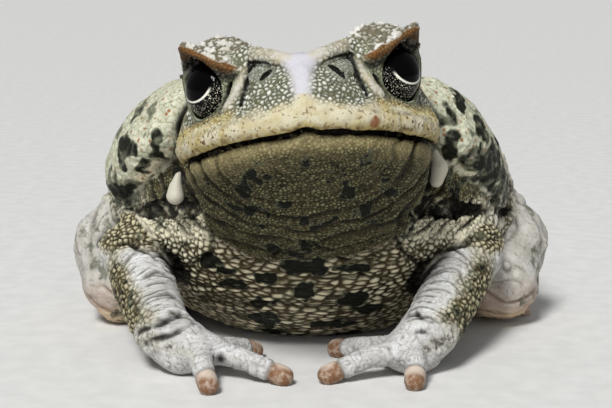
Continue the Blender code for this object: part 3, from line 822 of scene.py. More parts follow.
def head_kinds(skin, kinds, upper):
    """The kinds of skin on the head above the mouth."""
    h, over, mirrored = skin.local, skin.over_mouth, skin.mirrored
    across, back, high = mirrored.T
    lip_top = np.interp(across, (0, 5, 12, 30), (6.6, 6.0, 5.2, 4.6))
    lip_top = lip_top + 1.0 * cloud(h, 3.5, 91) + 0.6 * cloud(h, 1.5, 98)
    kinds["lip"] = upper * fade(over, lip_top + 1.9, lip_top - 1.5)
    free = upper * (1 - kinds["lip"])
    low = fade(over + 1.2 * cloud(h, 3, 92), 9.2, 6.8)
    kinds["jowl"] = free * low * fade(across, 13, 18) * fade(back, 36, 30)
    from_eye = skin.from_eye
    on_crest = fade(crest_distance(mirrored), 0.9, 0.2)
    shelf = fade(crest_distance(mirrored), 1.2, 0.5) * fade(across, 11.0, 12.5)
    kinds["brow"] = free * shelf * fade(high - crest_height(across) + 0.5 * cloud(h, 1.8, 99), 0.5, -0.2)
    above = fade(high, 16.2, 17.8) * fade(across, 8, 11) * fade(back, 11, 13)
    kinds["lid"] = free * (1 - kinds["brow"]) * np.maximum(above, on_crest * fade(across, 14, 16))
    free = free * (1 - kinds["brow"]) * (1 - kinds["lid"]) * (1 - kinds["jowl"])
    ring = fade(from_eye, EYE_RADIUS + 2.4, EYE_RADIUS + 1.5)
    corner = fade(from_eye, EYE_RADIUS + 5.5, EYE_RADIUS + 4.0)
    corner *= fade(across, 17.5, 15.5) * fade(across, 12.8, 13.8)
    kinds["socket"] = (free + kinds["jowl"]) * np.maximum(ring, corner) * fade(high, 21, 18)
    kinds["jowl"] = kinds["jowl"] * (1 - kinds["socket"])
    canthal = tube(CANTHAL_RIDGE, [1.8] * 4, 1).distance(mirrored)
    eye_bar = tube(EYE_BAR, [1.8] * 2, 1).distance(mirrored)
    on_ridge = np.maximum(fade(canthal, 0.4, -0.3), fade(eye_bar, 0.6, -0.1))
    kinds["ridge"] = free * (1 - 0.6 * kinds["socket"]) * on_ridge
    bar_width = np.interp(high, (4, 9, 13, 17), (0.8, 1.6, 2.3, 4.4))
    in_bar = fade(across, bar_width + 1.5, bar_width - 1.3) * fade(back, 17, 12)
    kinds["bar"] = free * (1 - kinds["ridge"]) * in_bar
    free = free * (1 - kinds["socket"]) * (1 - kinds["ridge"]) * (1 - kinds["bar"])
    bare_patch = blob(mirrored, (9.4, 5.5, 14.6), (2.2, 6.0, 2.4), 0.5, 97)
    kinds["nose"] = free * np.maximum(bare_patch, fade(nostrils(h), 1.3, 0.6))
    kinds["drum"] = free * fade(length(mirrored - TYMPANUM), TYMPANUM_RADIUS + 0.5, TYMPANUM_RADIUS - 0.3)
    kinds["cheek"] = free * (1 - kinds["drum"]) * (1 - kinds["nose"])


def front_kinds(skin, kinds, on_head, upper):
    """The kinds of skin from the throat down to the belly."""
    p, over = skin.points, skin.over_mouth
    front = (1 - kinds["arm"]) * (1 - kinds["gland"]) * fade(p[:, 1], 58, 48)
    under_mouth = on_head * (1 - kinds["lobe"]) * fade(over, 0.4, -0.4)
    low_throat = front * (1 - upper) * fade(p[:, 2], 27, 33)
    kinds["throat"] = np.maximum(under_mouth, low_throat) * (1 - kinds["lobe"])
    kinds["chin"] = under_mouth * fade(over + 1.5 * cloud(p, 5, 93), -8, -2)
    low = fade(skin.normals[:, 2], 0.35, 0.0)
    kinds["belly"] = front * low * (1 - kinds["throat"]) * (1 - upper) * fade(np.abs(p[:, 0]), 42, 34)
    underside = (1 - kinds["arm"]) * (1 - on_head) * fade(skin.normals[:, 2], -0.4, -0.8)
    kinds["belly"] = np.maximum(kinds["belly"], underside)
    beside = fade(np.abs(p[:, 0]), 22, 25) * fade(p[:, 2], 21, 24) * fade(p[:, 2], 39, 36)
    kinds["shoulder"] = front * beside * (1 - on_head)


def arm_kinds(skin, kinds):
    p = skin.points
    hand, outer = np.zeros(len(p)), np.zeros(len(p))
    for name, side in SIDES.items():
        mine = p[:, 0] * side > 0
        _, share = along_arm(p, name)
        hand[mine] = fade(share[mine], 0.93, 1.03)
        facing_out = skin.normals @ unit(np.array([side * 0.85, 0.1, -0.5])) + 0.25 * cloud(p, 5, 94)
        outer[mine] = (fade(facing_out, -0.35, 0.3) * fade(share, 0.0, 0.35))[mine]
    kinds["hand"] = kinds["arm"] * hand * fade(p[:, 2], 14, 11) * (1 - 0.6 * outer * fade(p[:, 2], 3, 8))
    kinds["outer_arm"] = kinds["arm"] * outer * (1 - kinds["hand"])
    kinds["tip"] = kinds["arm"] * fade(skin.from_tip, 4.2, 3.3)
    kinds["upper_arm"] = kinds["arm"] * fade(p[:, 1], 43, 47) * fade(p[:, 2], 23, 26) * (1 - kinds["hand"])


def cover_kinds(skin):
    """How much each kind of skin covers each point, from 0 to 1."""
    p, h = skin.points, skin.local
    arms = np.minimum(join(p, ARMS[-1]), join(p, ARMS[1]))
    gland = np.min([form.distance(p) for form in PAROTOIDS], axis=0)
    legs, torso, lobes = join(p, LEGS), join(p, TORSO), join(h, LOBES)
    trunk = np.minimum(torso, legs)
    skull = np.minimum(join(h, UPPER_HEAD), join(h, LOWER_JAW))
    kinds = {}
    on_head = nearer(np.minimum(skull, lobes), np.minimum(np.minimum(trunk, arms), gland), 2.5)
    others = np.minimum(np.minimum(trunk, arms), np.minimum(gland, skull))
    kinds["lobe"] = fade(lobes, 0.5, 0.1) * fade(others, -0.5, 0.2)
    kinds["arm"] = nearer(arms, np.minimum(np.minimum(trunk, skull), gland), 2.0)
    kinds["gland"] = nearer(gland, np.minimum(np.minimum(trunk, skull), arms), 2.0)
    upper = on_head * fade(skin.over_mouth, -0.4, 0.2) * (1 - kinds["lobe"])
    head_kinds(skin, kinds, upper)
    front_kinds(skin, kinds, on_head, upper)
    arm_kinds(skin, kinds)
    kinds["leg"] = nearer(legs, np.minimum(np.minimum(torso, arms), gland), 2.0)
    covered = np.max([kinds[name] for name in ("arm", "gland", "throat", "belly", "leg")], axis=0)
    kinds["back"] = (1 - covered) * (1 - on_head)
    for name in kinds:
        if name != "lobe":
            kinds[name] = kinds[name] * (1 - kinds["lobe"])
    return kinds


def raise_head(skin, kinds):
    h = skin.local
    over, mirrored = skin.over_mouth, skin.mirrored
    from_eye = skin.from_eye
    skin.grainy(kinds["cheek"], 1.35, 0.75, 11, rim=1.1, uneven=0.6)
    skin.grainy(kinds["lid"], 1.6, 1.0, 12, rim=1.2, uneven=0.9)
    skin.studded(kinds["lid"], 3.6, 0.45, 0.4, 14, share=0.6)
    skin.grainy(kinds["brow"], 0.9, 0.14, 15, rim=0.5)
    skin.grainy(kinds["socket"], 0.9, 0.10, 16)
    skin.even(kinds["socket"] * fade(from_eye, EYE_RADIUS + 1.7, EYE_RADIUS + 0.9), 0.6)
    for kind, size, height, seed in (
        ("lid", 0.9, 0.25, 13),
        ("ridge", 2.4, 0.3, 19),
        ("bar", 2.4, 0.2, 20),
        ("lip", 2.8, 0.3, 18),
        ("lip", 1.1, 0.10, 17),
        ("lobe", 3.0, 0.12, 22),
    ):
        skin.rolling(kinds[kind], size, height, seed)
    skin.grainy(kinds["nose"], 0.8, 0.16, 24)
    for kind in ("ridge", "bar", "lip", "lobe"):
        skin.even(kinds[kind])
    skin.lift += 0.6 * kinds["ridge"]
    skin.grainy(kinds["jowl"], 1.2, 0.35, 23)
    skin.even(kinds["jowl"], 0.15)
    upright = h[:, 0] / 1.5 + 0.5 * cloud(h, 2.5, 26)
    beside = (kinds["jowl"] + kinds["lip"]) * fade(mirrored[:, 0], 12, 20)
    skin.creased(beside * fade(cloud(h, 2.2, 27), -0.3, 0.3), upright, 0.2, 0.2, 0.45)
    groove = (over - 5.0 + 0.5 * cloud(h, 3, 28)) / 12
    skin.creased(kinds["lip"] * fade(mirrored[:, 0], 11, 18), groove, 0.07, 0.4)
    below_eye = (kinds["jowl"] + kinds["cheek"]) * fade(from_eye, 13, 10.5)
    rings = from_eye / 1.8 + 0.3 * cloud(h, 3, 25)
    skin.creased(below_eye * fade(cloud(h, 2.5, 29), -0.3, 0.2), rings, 0.2, 0.2, 0.35)
    skin.grainy(kinds["drum"], 0.8, 0.08, 21)


def raise_throat(skin, kinds):
    h = skin.local
    sweep = np.sqrt((h[:, 0] / 1.5) ** 2 + (h[:, 2] + 2) ** 2)
    wander = 0.35 * cloud(skin.points, 7, 31) + 0.15 * cloud(skin.points, 2.5, 32)
    beaded = kinds["throat"] * (1 - 0.6 * kinds["chin"])
    skin.grainy(beaded, 0.9, 0.42, 33, stretch=(1.2, 1.1, 1.0), rim=1.15, uneven=0.6)
    skin.even(kinds["chin"], 0.4)
    skin.rolling(kinds["chin"], 2.2, 0.25, 34)
    skin.creased(kinds["throat"] * fade(sweep, 9, 17), sweep / 2.7 + wander, 0.28, 0.5, 0.9)
    broken = fade(sweep, 11, 19) * fade(cloud(skin.points, 5, 35), -0.6, 0.2)
    # Painted shade in the deepest throat creases.
    skin.creased(kinds["throat"] * broken, sweep / 2.7 + wander, 0.2, 0.2, 0.85, "crevice_shade")
    skin.creased(kinds["throat"] * (1 - 0.7 * kinds["chin"]), sweep / 1.35 + 2 * wander, 0.24, 0.15, 0.5)


def raise_body(skin, kinds):
    p = skin.points
    belly = kinds["belly"] * (1 - kinds["shoulder"])
    skin.grainy(belly, 1.5, 0.6, 41, stretch=(2.8, 1.3, 1.0), rim=1.0)
    wander = 0.4 * cloud(p, 9, 42)
    skin.creased(belly * fade(cloud(p, 6, 43), -0.4, 0.2), p[:, 2] / 4.2 + wander, 0.18, 0.4, 0.8)
    skin.grainy(kinds["shoulder"], 1.7, 0.9, 40, rim=0.95)
    skin.grainy(kinds["back"], 1.7, 0.45, 44, rim=0.85)
    skin.studded(kinds["back"], 5.5, 0.42, 0.8, 45, share=0.7)
    skin.rolling(kinds["back"], 8.0, 0.6, 46)
    skin.lift -= 0.9 * kinds["back"] * fade(np.abs(p[:, 0]), 18, 9) * fade(p[:, 2], 64, 70)
    flank = kinds["back"] * fade(p[:, 2], 48, 40) * fade(p[:, 1], 86, 74)
    slant = p[:, 2] * 0.75 - p[:, 1] * 0.45
    skin.creased(flank, slant / 6.5 + 0.45 * cloud(p, 10, 47), 0.3, 0.9, 0.7)
    leg = kinds["leg"]
    skin.rolling(leg, 6.0, 0.9, 52)
    skin.rolling(leg, 2.6, 0.3, 58)
    skin.grainy(leg, 1.7, 0.14, 53, rim=0.7)
    skin.even(leg, 0.5)
    steep = (p[:, 1] - 0.6 * p[:, 2]) / 5.5 + 0.6 * cloud(p, 9, 55)
    skin.creased(leg * fade(cloud(p, 7, 54), -0.3, 0.2), steep, 0.14, 0.7, 0.6)
    level = (p[:, 2] + 0.25 * p[:, 1]) / 3.6 + 0.6 * cloud(p, 6, 57)
    skin.creased(leg * fade(cloud(p, 4, 56), -0.1, 0.4), level, 0.16, 0.35, 0.4)
    gland = kinds["gland"]
    skin.rolling(gland, 7.5, 0.8, 48)
    skin.rolling(gland, 3.0, 0.35, 49)
    skin.grainy(gland, 1.6, 0.14, 50, rim=0.6)
    skin.studded(gland, 3.4, 0.3, -0.35, 51, share=0.6)
    skin.even(gland, 0.25)


def fold_skin(skin):
    """Thin folds that wander and die out in places, with plump skin on both sides of them."""
    p = skin.points
    away = join(wandering(p, 3.5, 0.9, 150), THIN_FOLDS)
    strength = 0.5 + 0.5 * fade(cloud(p, 4.0, 153), -0.6, 0.3)
    skin.lift -= strength * (0.8 * fade(away, 1.0, 0) - 0.35 * fade(np.abs(away - 1.8), 1.2, 0))
    # Painted shade along the folds.
    skin.marks["crevice_shade"] = np.maximum(skin.marks["crevice_shade"], 0.95 * strength * fade(away, 0.9, 0.3))


def raise_arms(skin, kinds):
    p = skin.points
    bare = kinds["arm"] * (1 - kinds["tip"])
    beaded = np.maximum(kinds["outer_arm"], kinds["upper_arm"])
    skin.grainy(kinds["upper_arm"], 1.7, 0.9, 61, rim=0.95)
    skin.grainy(bare * kinds["outer_arm"] * (1 - kinds["upper_arm"]), 1.7, 0.7, 62, rim=0.9)
    plain = bare * (1 - beaded)
    skin.even(plain, 0.45)
    for name, side in SIDES.items():
        mine = p[:, 0] * side > 0
        down, share = along_arm(p, name)
        slant = down + 0.45 * (p[:, 2] - 15)
        sideways = (p[:, 0] - p[:, 1]) / 2.2, (p[:, 2] + 0.5 * p[:, 1]) / 2.2
        plates = np.column_stack([slant, *sideways])
        skin.grainy(plain * mine * (1 - kinds["hand"]), 1.1, 0.28, 63, rim=0.8, places=plates)
        forearm = mine * bare * fade(share, -0.1, 0.15) * (1 - kinds["hand"]) * (1 - 0.6 * kinds["outer_arm"])
        wander = 1.3 * cloud(p, 6, 64)
        skin.creased(forearm * fade(cloud(p, 4, 65), -0.5, 0.1), (slant + wander) / 1.9, 0.2, 0.32, 0.85)
        deep = (slant + wander + 0.6 * cloud(p, 2.2, 73)) / 5.5 + 0.3
        skin.creased(forearm * fade(cloud(p, 7, 66), -0.4, 0.1), deep, 0.12, 0.7, 0.85)
        crossing = down - 1.1 * (p[:, 2] - 15) + 1.5 * cloud(p, 5, 67)
        skin.creased(forearm * fade(cloud(p, 5, 68), 0.0, 0.4), crossing / 3.6, 0.12, 0.2, 0.4)
    wrinkled = kinds["hand"] * (1 - kinds["tip"])
    skin.creased(wrinkled, 2.6 * cloud(p, 3.2, 69), 0.14, 0.22, 0.45)
    skin.creased(wrinkled * fade(cloud(p, 6, 70), -0.2, 0.3), 4.2 * cloud(p, 4.1, 71), 0.18, 0.14, 0.35)
    skin.rolling(wrinkled, 3.0, 0.3, 72)
    skin.grainy(wrinkled, 0.9, 0.08, 74, rim=0.6)
    from_tip = skin.from_tip
    knuckles = kinds["arm"] * fade(from_tip, 11, 9) * fade(from_tip, 4, 5)
    skin.creased(knuckles, from_tip / 2.2 + 0.3 * cloud(p, 3, 75), 0.12, 0.25, 0.4)
    skin.creased(kinds["arm"] * fade(from_tip, 6, 5), (from_tip - 4.0) / 9, 0.08, 0.35, 0.5)
    skin.even(kinds["tip"])


def dark_patches(p, kinds):
    """Black blotches on the glands and belly, and paler mottling on most of the rest."""
    patch = np.zeros(len(p))
    for number, (centre, radii) in enumerate(GLAND_PATCHES):
        patch = np.maximum(patch, 0.72 * blob(p, centre, radii, 0.8, 100 + number))
    for number, (centre, radii) in enumerate(BELLY_PATCHES):
        patch = np.maximum(patch, blob(p, centre, radii, 0.7, 130 + number))
    spotty = fade(cloud(p, 11, 81) + 0.45 * cloud(p, 4, 82), 0.3, 0.6)
    behind = fade(p[:, 1], 70, 84)
    mottled = fade(cloud(p, 6, 83) + 0.6 * cloud(p, 2.4, 85), 0.1, 0.7)
    speckled = fade(cloud(p, 3.2, 86) + 0.5 * cloud(p, 1.4, 87), 0.35, 0.7)
    blotched = fade(cloud(p, 4.5, 84) + 0.8 * cloud(p, 1.7, 88), 0.5, 0.8)
    for cover in (
        0.9 * kinds["back"] * spotty,
        kinds["gland"] * spotty * behind,
        0.6 * kinds["gland"] * mottled,
        kinds["belly"] * spotty * fade(p[:, 1], 46, 56),
        0.62 * kinds["leg"] * fade(cloud(p, 8, 89) + 0.6 * cloud(p, 3, 90), -0.1, 0.6),
        0.75 * kinds["outer_arm"] * speckled,
        0.5 * kinds["upper_arm"] * speckled,
        0.9 * kinds["throat"] * (1 - 0.7 * kinds["chin"]) * blotched,
    ):
        patch = np.maximum(patch, cover)
    return patch


def hollows(skin, kinds):
    """Where little light comes in: deep folds, nostrils, the mouth and under the brows."""
    p, h = skin.points, skin.local
    open_air = body(p + 3.0 * skin.normals) / 3.0
    ragged = 0.5 * cloud(p, 2.5, 154) + 0.3 * cloud(p, 1.1, 155)
    fold = fade(join(p, GLAND_FOLDS) + ragged, 0.5, -0.2)
    beside_ridge = 0.3 * fade(join(p, RIDGE_FOLDS), 0.4, 0.0)
    enclosed = np.maximum(fade(open_air, 0.8, 0.3), fold) * (1 - 0.9 * kinds["lobe"])
    dark = np.max([enclosed, beside_ridge, fade(nostrils(h), 0.3, 0.1)], axis=0)
    over = np.abs(skin.over_mouth)
    at_mouth = fade(h[:, 1], 42, 36) * fade(p[:, 1], 46, 42) * (1 - kinds["arm"])
    skin.lift -= 0.7 * at_mouth * fade(over, 0.6, 0)
    dark = dark * (1 - 0.6 * at_mouth * fade(over, 3, 1.5))
    dark = np.maximum(dark, at_mouth * fade(over, 0.55, 0.32))
    below = crest_height(skin.mirrored[:, 0]) - h[:, 2]
    under_brow = fade(crest_distance(skin.mirrored), 3.6, 1.2) * fade(below, 0.5, 1.6) * fade(h[:, 1], 24, 20)
    return np.maximum(dark, 0.92 * under_brow * (1 - 0.4 * kinds["brow"]) * (1 - kinds["ridge"]))


def darken(skin, kinds):
    p, h = skin.points, skin.local
    skin.marks["patch"] = dark_patches(p, kinds)
    # Painted shade where little light comes in.
    skin.marks["crevice_shade"] = np.maximum(skin.marks["crevice_shade"], hollows(skin, kinds))
    skin.marks["corner"] = fade(np.abs(h[:, 0]), 10, 27)
    # The lip's lower edge: honey in its own colour, and browned with painted shade where it turns in to the
    # mouth.
    skin.marks["edge"] = kinds["lip"] * fade(skin.over_mouth + 0.8 * cloud(h, 3, 95), 2.4, 0.8)
    skin.marks["spot"] = fade(length(h - LIP_SPOT), 1.7, 0.9)
    skin.marks["flush"] = kinds["leg"] * fade(p[:, 2] + 3 * cloud(p, 6, 96), 15, 4) * fade(p[:, 1], 92, 82)
    nail = np.zeros(len(p))
    for tip in finger_tips():
        over_tip = fade(length(p - tip - (0, 1.8, 1.5)), 2.3, 3.6)
        nail = np.maximum(nail, over_tip * fade(length(p - tip), 4.2, 3.6))
    skin.marks["nail"] = nail


def skin_mesh(name, points, quads, longer, marks):
    """The mesh of the points and faces, each mark kept as an attribute of the points."""
    mesh = bpy.data.meshes.new(name)
    loops = np.concatenate([quads.ravel()] + [np.array(face) for face in longer])
    sizes = np.concatenate([np.full(len(quads), 4), [len(face) for face in longer]]).astype(int)
    mesh.vertices.add(len(points))
    mesh.vertices.foreach_set("co", in_scene(points).ravel())
    mesh.loops.add(len(loops))
    mesh.loops.foreach_set("vertex_index", loops)
    mesh.polygons.add(len(sizes))
    mesh.polygons.foreach_set("loop_start", np.cumsum(sizes) - sizes)
    mesh.update(calc_edges=True)
    mesh.shade_smooth()
    for mark, values in marks.items():
        mesh.attributes.new(mark, "FLOAT", "POINT").data.foreach_set("value", np.clip(values, 0, 1))
    return mesh


def add_object(name, mesh, material):
    obj = bpy.data.objects.new(name, mesh)
    bpy.context.scene.collection.objects.link(obj)
    mesh.materials.append(material)
    return obj


def make_skin():
    values = fill_double_cells(sample(body, BOX_LOW, BOX_HIGH, STEP), STEP)
    points, faces = surface(values, BOX_LOW, STEP)
    points, quads, longer = refine(points, faces, points[faces].mean(axis=1)[:, 1] < FINE_UP_TO)
    middle = points[quads].mean(axis=1)
    points, quads, more = refine(points, quads, (middle[:, 1] < HEAD_UP_TO) & (middle[:, 2] > HEAD_ABOVE))
    longer += more
    normals = normals_of(points, quads)
    for _ in range(2):
        points = points - normals * np.clip(body(points), -STEP, STEP)[:, None]
    normals = normals_of(points, quads)
    skin = Skin(points, normals)
    kinds = cover_kinds(skin)
    raise_head(skin, kinds)
    raise_throat(skin, kinds)
    raise_body(skin, kinds)
    raise_arms(skin, kinds)
    fold_skin(skin)
    darken(skin, kinds)
    points = points + normals * skin.lift[:, None]
    points[:, 2] = np.maximum(points[:, 2], 0)
    mesh = skin_mesh("skin", points, quads, longer, {**skin.marks, **kinds})
    piece = add_object("skin", mesh, skin_material())
    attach(piece, "root")
    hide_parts(*FLESH)


# Materials


def srgb(red, green, blue):
    """A colour as it looks on a screen, from 0 to 255, made linear."""
    shares = [channel / 255 for channel in (red, green, blue)]
    return (*(c / 12.92 if c <= 0.04 else ((c + 0.055) / 1.055) ** 2.4 for c in shares), 1)


class Graph:
    """Adds shader nodes to a new material and joins them up."""

    def __init__(self, name):
        self.material = bpy.data.materials.new(name)
        self.material.use_nodes = True
        self.tree = self.material.node_tree
        self.shader = self.tree.nodes["Principled BSDF"]
        self.place = self.tree.nodes.new("ShaderNodeTexCoord").outputs["Object"]

    def put(self, value, socket):
        if isinstance(value, bpy.types.NodeSocket):
            self.tree.links.new(value, socket)
        else:
            socket.default_value = value

    def mark(self, name):
        node = self.tree.nodes.new("ShaderNodeAttribute")
        node.attribute_name = name
        return node.outputs["Fac"]

    def math(self, operation, a, b=0.0):
        node = self.tree.nodes.new("ShaderNodeMath")
        node.operation = operation
        self.put(a, node.inputs[0])
        self.put(b, node.inputs[1])
        return node.outputs[0]

    def times(self, a, b):
        return self.math("MULTIPLY", a, b)

    def plus(self, a, b):
        return self.math("ADD", a, b)

    def minus(self, a, b):
        return self.math("SUBTRACT", a, b)

    def most(self, a, b):
        return self.math("MAXIMUM", a, b)

    def mix(self, share, a, b):
        node = self.tree.nodes.new("ShaderNodeMix")
        node.data_type = "RGBA"
        self.put(share, node.inputs["Factor"])
        self.put(a, node.inputs["A"])
        self.put(b, node.inputs["B"])
        return node.outputs["Result"]

    def levels(self, value, low, high, out_low=0.0, out_high=1.0):
        node = self.tree.nodes.new("ShaderNodeMapRange")
        node.interpolation_type = "SMOOTHSTEP"
        for socket, given in zip(node.inputs, (value, low, high, out_low, out_high)):
            self.put(given, socket)
        return node.outputs["Result"]

    def noise(self, size, detail=3.0, place=None):
        """Noise with patches of about this size, in millimetres."""
        node = self.tree.nodes.new("ShaderNodeTexNoise")
        self.put(place or self.place, node.inputs["Vector"])
        node.inputs["Scale"].default_value = 1 / (size * MM)
        node.inputs["Detail"].default_value = detail
        return node.outputs["Fac"]

    def cells(self, size):
        node = self.tree.nodes.new("ShaderNodeTexVoronoi")
        self.put(self.place, node.inputs["Vector"])
        node.inputs["Scale"].default_value = 1 / (size * MM)
        return node.outputs["Distance"]

    def bump(self, height, depth, base=None):
        """Relief this deep, in millimetres."""
        node = self.tree.nodes.new("ShaderNodeBump")
        node.inputs["Strength"].default_value = 1.0
        node.inputs["Distance"].default_value = depth * MM
        self.put(height, node.inputs["Height"])
        if base is not None:
            self.put(base, node.inputs["Normal"])
        return node.outputs["Normal"]


# For each kind of skin: the colour of what is raised and of the ground between, from 0 to 255
# The grounds are darkened partly with painted shade in the gaps between the grains.
KIND_COLOURS = {
    "back": ((198, 195, 180), (70, 67, 50)),
    "leg": ((186, 184, 178), (92, 88, 74)),
    "gland": ((201, 202, 180), (138, 140, 110)),
    # The throat's colours are darkened with painted shade under the head.
    "throat": ((132, 132, 98), (7, 7, 2)),
    "chin": ((158, 148, 108), (64, 55, 28)),
    "belly": ((228, 218, 186), (40, 33, 21)),
    "shoulder": ((214, 208, 182), (34, 32, 21)),
    "arm": ((202, 202, 201), (98, 96, 86)),
    "upper_arm": ((198, 190, 158), (30, 28, 16)),
    "outer_arm": ((176, 170, 138), (26, 24, 14)),
    "hand": ((203, 203, 203), (118, 116, 108)),
    "cheek": ((220, 222, 212), (82, 87, 71)),
    "nose": ((158, 162, 155), (100, 106, 92)),
    "jowl": ((208, 199, 154), (92, 80, 42)),
    "socket": ((152, 160, 134), (74, 80, 58)),
    "ridge": ((206, 203, 196), (140, 130, 98)),
    "lid": ((206, 204, 197), (100, 96, 80)),
    "brow": ((120, 80, 42), (66, 42, 20)),
    "bar": ((206, 206, 216), (174, 174, 180)),
    "drum": ((140, 136, 112), (86, 82, 60)),
    "lip": ((214, 208, 182), (172, 160, 116)),
    "lobe": ((205, 202, 187), (168, 163, 142)),
    "tip": ((214, 198, 184), (150, 110, 80)),
}
BLACK = srgb(6, 5, 3)
DARK = srgb(13, 15, 9)
DUSK = srgb(88, 91, 74)
SHADE = srgb(50, 45, 31)
RUST = srgb(136, 84, 42)
HONEY = srgb(164, 146, 86)
BROWN = srgb(82, 55, 24)
NAIL = srgb(108, 68, 32)
FLUSH = srgb(190, 138, 108)
DUST = srgb(112, 100, 70)
RED_BROWN = srgb(122, 62, 30)
JET = srgb(4, 4, 4)
FLECK = srgb(190, 186, 168)
SILVER = srgb(226, 224, 212)
SKIN_GLOSS = 0.1
EYE_GLOSS = 0.06


def skin_material():
    g = Graph("toad_skin")
    raised, ground = (srgb(*colour) for colour in KIND_COLOURS["back"])
    for kind, (top, gap) in KIND_COLOURS.items():
        share = g.mark(kind)
        raised = g.mix(share, raised, srgb(*top))
        ground = g.mix(share, ground, srgb(*gap))
    grain = g.times(g.minus(g.noise(0.9), 0.5), 0.4)
    # Raised grain tops against the ground between them, which carries painted shade.
    colour = g.mix(g.levels(g.plus(g.mark("raised"), grain), 0.18, 0.86), ground, raised)
    tone = g.plus(g.times(g.mark("tone"), 0.25), g.times(g.noise(5.0), 0.5))
    colour = g.mix(g.levels(tone, 0.25, 0.6, 0.3, 0.0), colour, DUST)
    # Painted shade in the creases.
    colour = g.mix(g.mark("line"), colour, SHADE)
    colour = g.mix(g.times(g.mark("flush"), 0.38), colour, FLUSH)
    colour = lip_marks(g, colour)
    colour = gland_marks(g, colour)
    ragged = g.times(g.minus(g.noise(2.5, 5.0), 0.5), 1.1)
    granular = g.times(g.mark("raised"), g.levels(g.mark("gland"), 0.0, 1.0, 0.3, 0.0))
    patch = g.minus(g.plus(g.mark("patch"), ragged), granular)
    patched = g.levels(g.mark("patch"), 0.02, 0.2)
    colour = g.mix(g.times(patched, g.levels(patch, 0.2, 0.45, 0.0, 0.8)), colour, DUSK)
    colour = g.mix(g.times(patched, g.levels(patch, 0.45, 0.75, 0.0, 0.96)), colour, DARK)
    horny = g.times(g.mark("nail"), g.levels(g.noise(1.2, 4.0), 0.35, 0.6, 0.45, 0.9))
    colour = g.mix(horny, colour, NAIL)
    # Painted shade: black in deep folds, hollows, nostrils, the mouth gap and under the brows.
    colour = g.mix(g.times(g.mark("crevice_shade"), 0.97), colour, BLACK)
    g.put(colour, g.shader.inputs["Base Color"])
    moist = g.most(g.mark("tip"), g.mark("lobe"))
    rough = g.minus(g.levels(g.noise(1.5), 0.3, 0.7, 0.4, 0.62), g.times(moist, 0.18))
    g.put(rough, g.shader.inputs["Roughness"])
    g.shader.inputs["Specular IOR Level"].default_value = SKIN_GLOSS
    fine = g.bump(g.cells(0.5), 0.06)
    g.put(g.bump(g.noise(0.35), 0.1, fine), g.shader.inputs["Normal"])
    return g.material


def lip_marks(g, colour):
    """Brown specks and honey-coloured clouds that thicken towards the corners of the mouth, and painted shade
    in brown patches along the lip's lower edge.
    """
    lip, corner = g.most(g.mark("lip"), g.mark("jowl")), g.mark("corner")
    cloudy = g.times(g.levels(g.noise(3.5, 4.0), 0.42, 0.62), g.most(lip, g.mark("ridge")))
    reach = g.plus(0.4, g.times(corner, 0.35))
    colour = g.mix(g.times(cloudy, reach), colour, HONEY)
    edge = g.times(g.mark("edge"), g.levels(g.noise(1.6, 4.0), 0.3, 0.6, 0.35, 0.85))
    colour = g.mix(edge, colour, HONEY)
    specks = g.times(g.levels(g.noise(0.9, 2.0), 0.57, 0.65), lip)
    thick = g.plus(0.6, g.times(corner, 0.4))
    colour = g.mix(g.times(specks, thick), colour, BROWN)
    # Painted shade: brown in patches where the lip turns in to the mouth.
    mouth_edge_shade = g.times(g.mark("edge"), g.levels(g.noise(2.0, 5.0), 0.48, 0.62, 0.0, 0.6))
    colour = g.mix(mouth_edge_shade, colour, BROWN)
    return g.mix(g.times(g.mark("spot"), 0.75), colour, RED_BROWN)


def gland_marks(g, colour):
    """Rusty and black specks round the pores of the glands, and black spots down the outer arms."""
    gland = g.mark("gland")
    rusty = g.times(g.levels(g.cells(2.2), 0.3, 0.14), g.levels(g.noise(7.0), 0.38, 0.58, 0.2, 0.9))
    colour = g.mix(g.times(rusty, gland), colour, RUST)
    dots = g.times(g.levels(g.cells(1.5), 0.2, 0.1), gland)
    dots = g.times(dots, g.levels(g.noise(5.0), 0.45, 0.6))
    colour = g.mix(g.times(dots, 0.7), colour, DARK)
    pits = g.times(g.levels(g.cells(2.3), 0.34, 0.2), g.mark("outer_arm"))
    pits = g.times(pits, g.levels(g.noise(6.0), 0.34, 0.5))
    return g.mix(g.times(pits, 0.9), colour, DARK)


# Eyes


PUPIL = (0.0, 0.12)
PUPIL_RADII = (0.60, 0.50)
EYE_RINGS, EYE_SIDES = 72, 96
CORNEA_BULGE = 0.02
EYE_GAP = 0.05


def eye_material():
    """A black, wet eye: an oval pupil with a silver rim below it and flecks of silver and gold."""
    g = Graph("toad_eye")
    seat = g.tree.nodes.new("ShaderNodeAttribute")
    seat.attribute_name = "seat"
    split = g.tree.nodes.new("ShaderNodeSeparateXYZ")
    g.put(seat.outputs["Vector"], split.inputs[0])
    u = g.math("DIVIDE", g.minus(split.outputs[0], PUPIL[0]), PUPIL_RADII[0])
    v = g.math("DIVIDE", g.minus(split.outputs[1], PUPIL[1]), PUPIL_RADII[1])
    away = g.math("SQRT", g.plus(g.times(u, u), g.times(v, v)))
    rim = g.levels(g.math("ABSOLUTE", g.minus(away, 1.06)), 0.07, 0.03)
    rim = g.times(rim, g.levels(v, -0.25, -0.6))
    iris = g.times(g.levels(away, 1.08, 1.12), g.levels(v, 0.2, -0.5))
    flecks = g.times(iris, g.levels(g.noise(0.32, 3.0), 0.57, 0.64))
    colour = g.mix(flecks, JET, FLECK)
    colour = g.mix(rim, colour, SILVER)
    g.put(colour, g.shader.inputs["Base Color"])
    g.put(g.levels(g.noise(2.0), 0.3, 0.7, 0.04, 0.08), g.shader.inputs["Roughness"])
    g.put(g.bump(g.noise(0.6), 0.01), g.shader.inputs["Normal"])
    g.shader.inputs["Specular IOR Level"].default_value = EYE_GLOSS
    return g.material


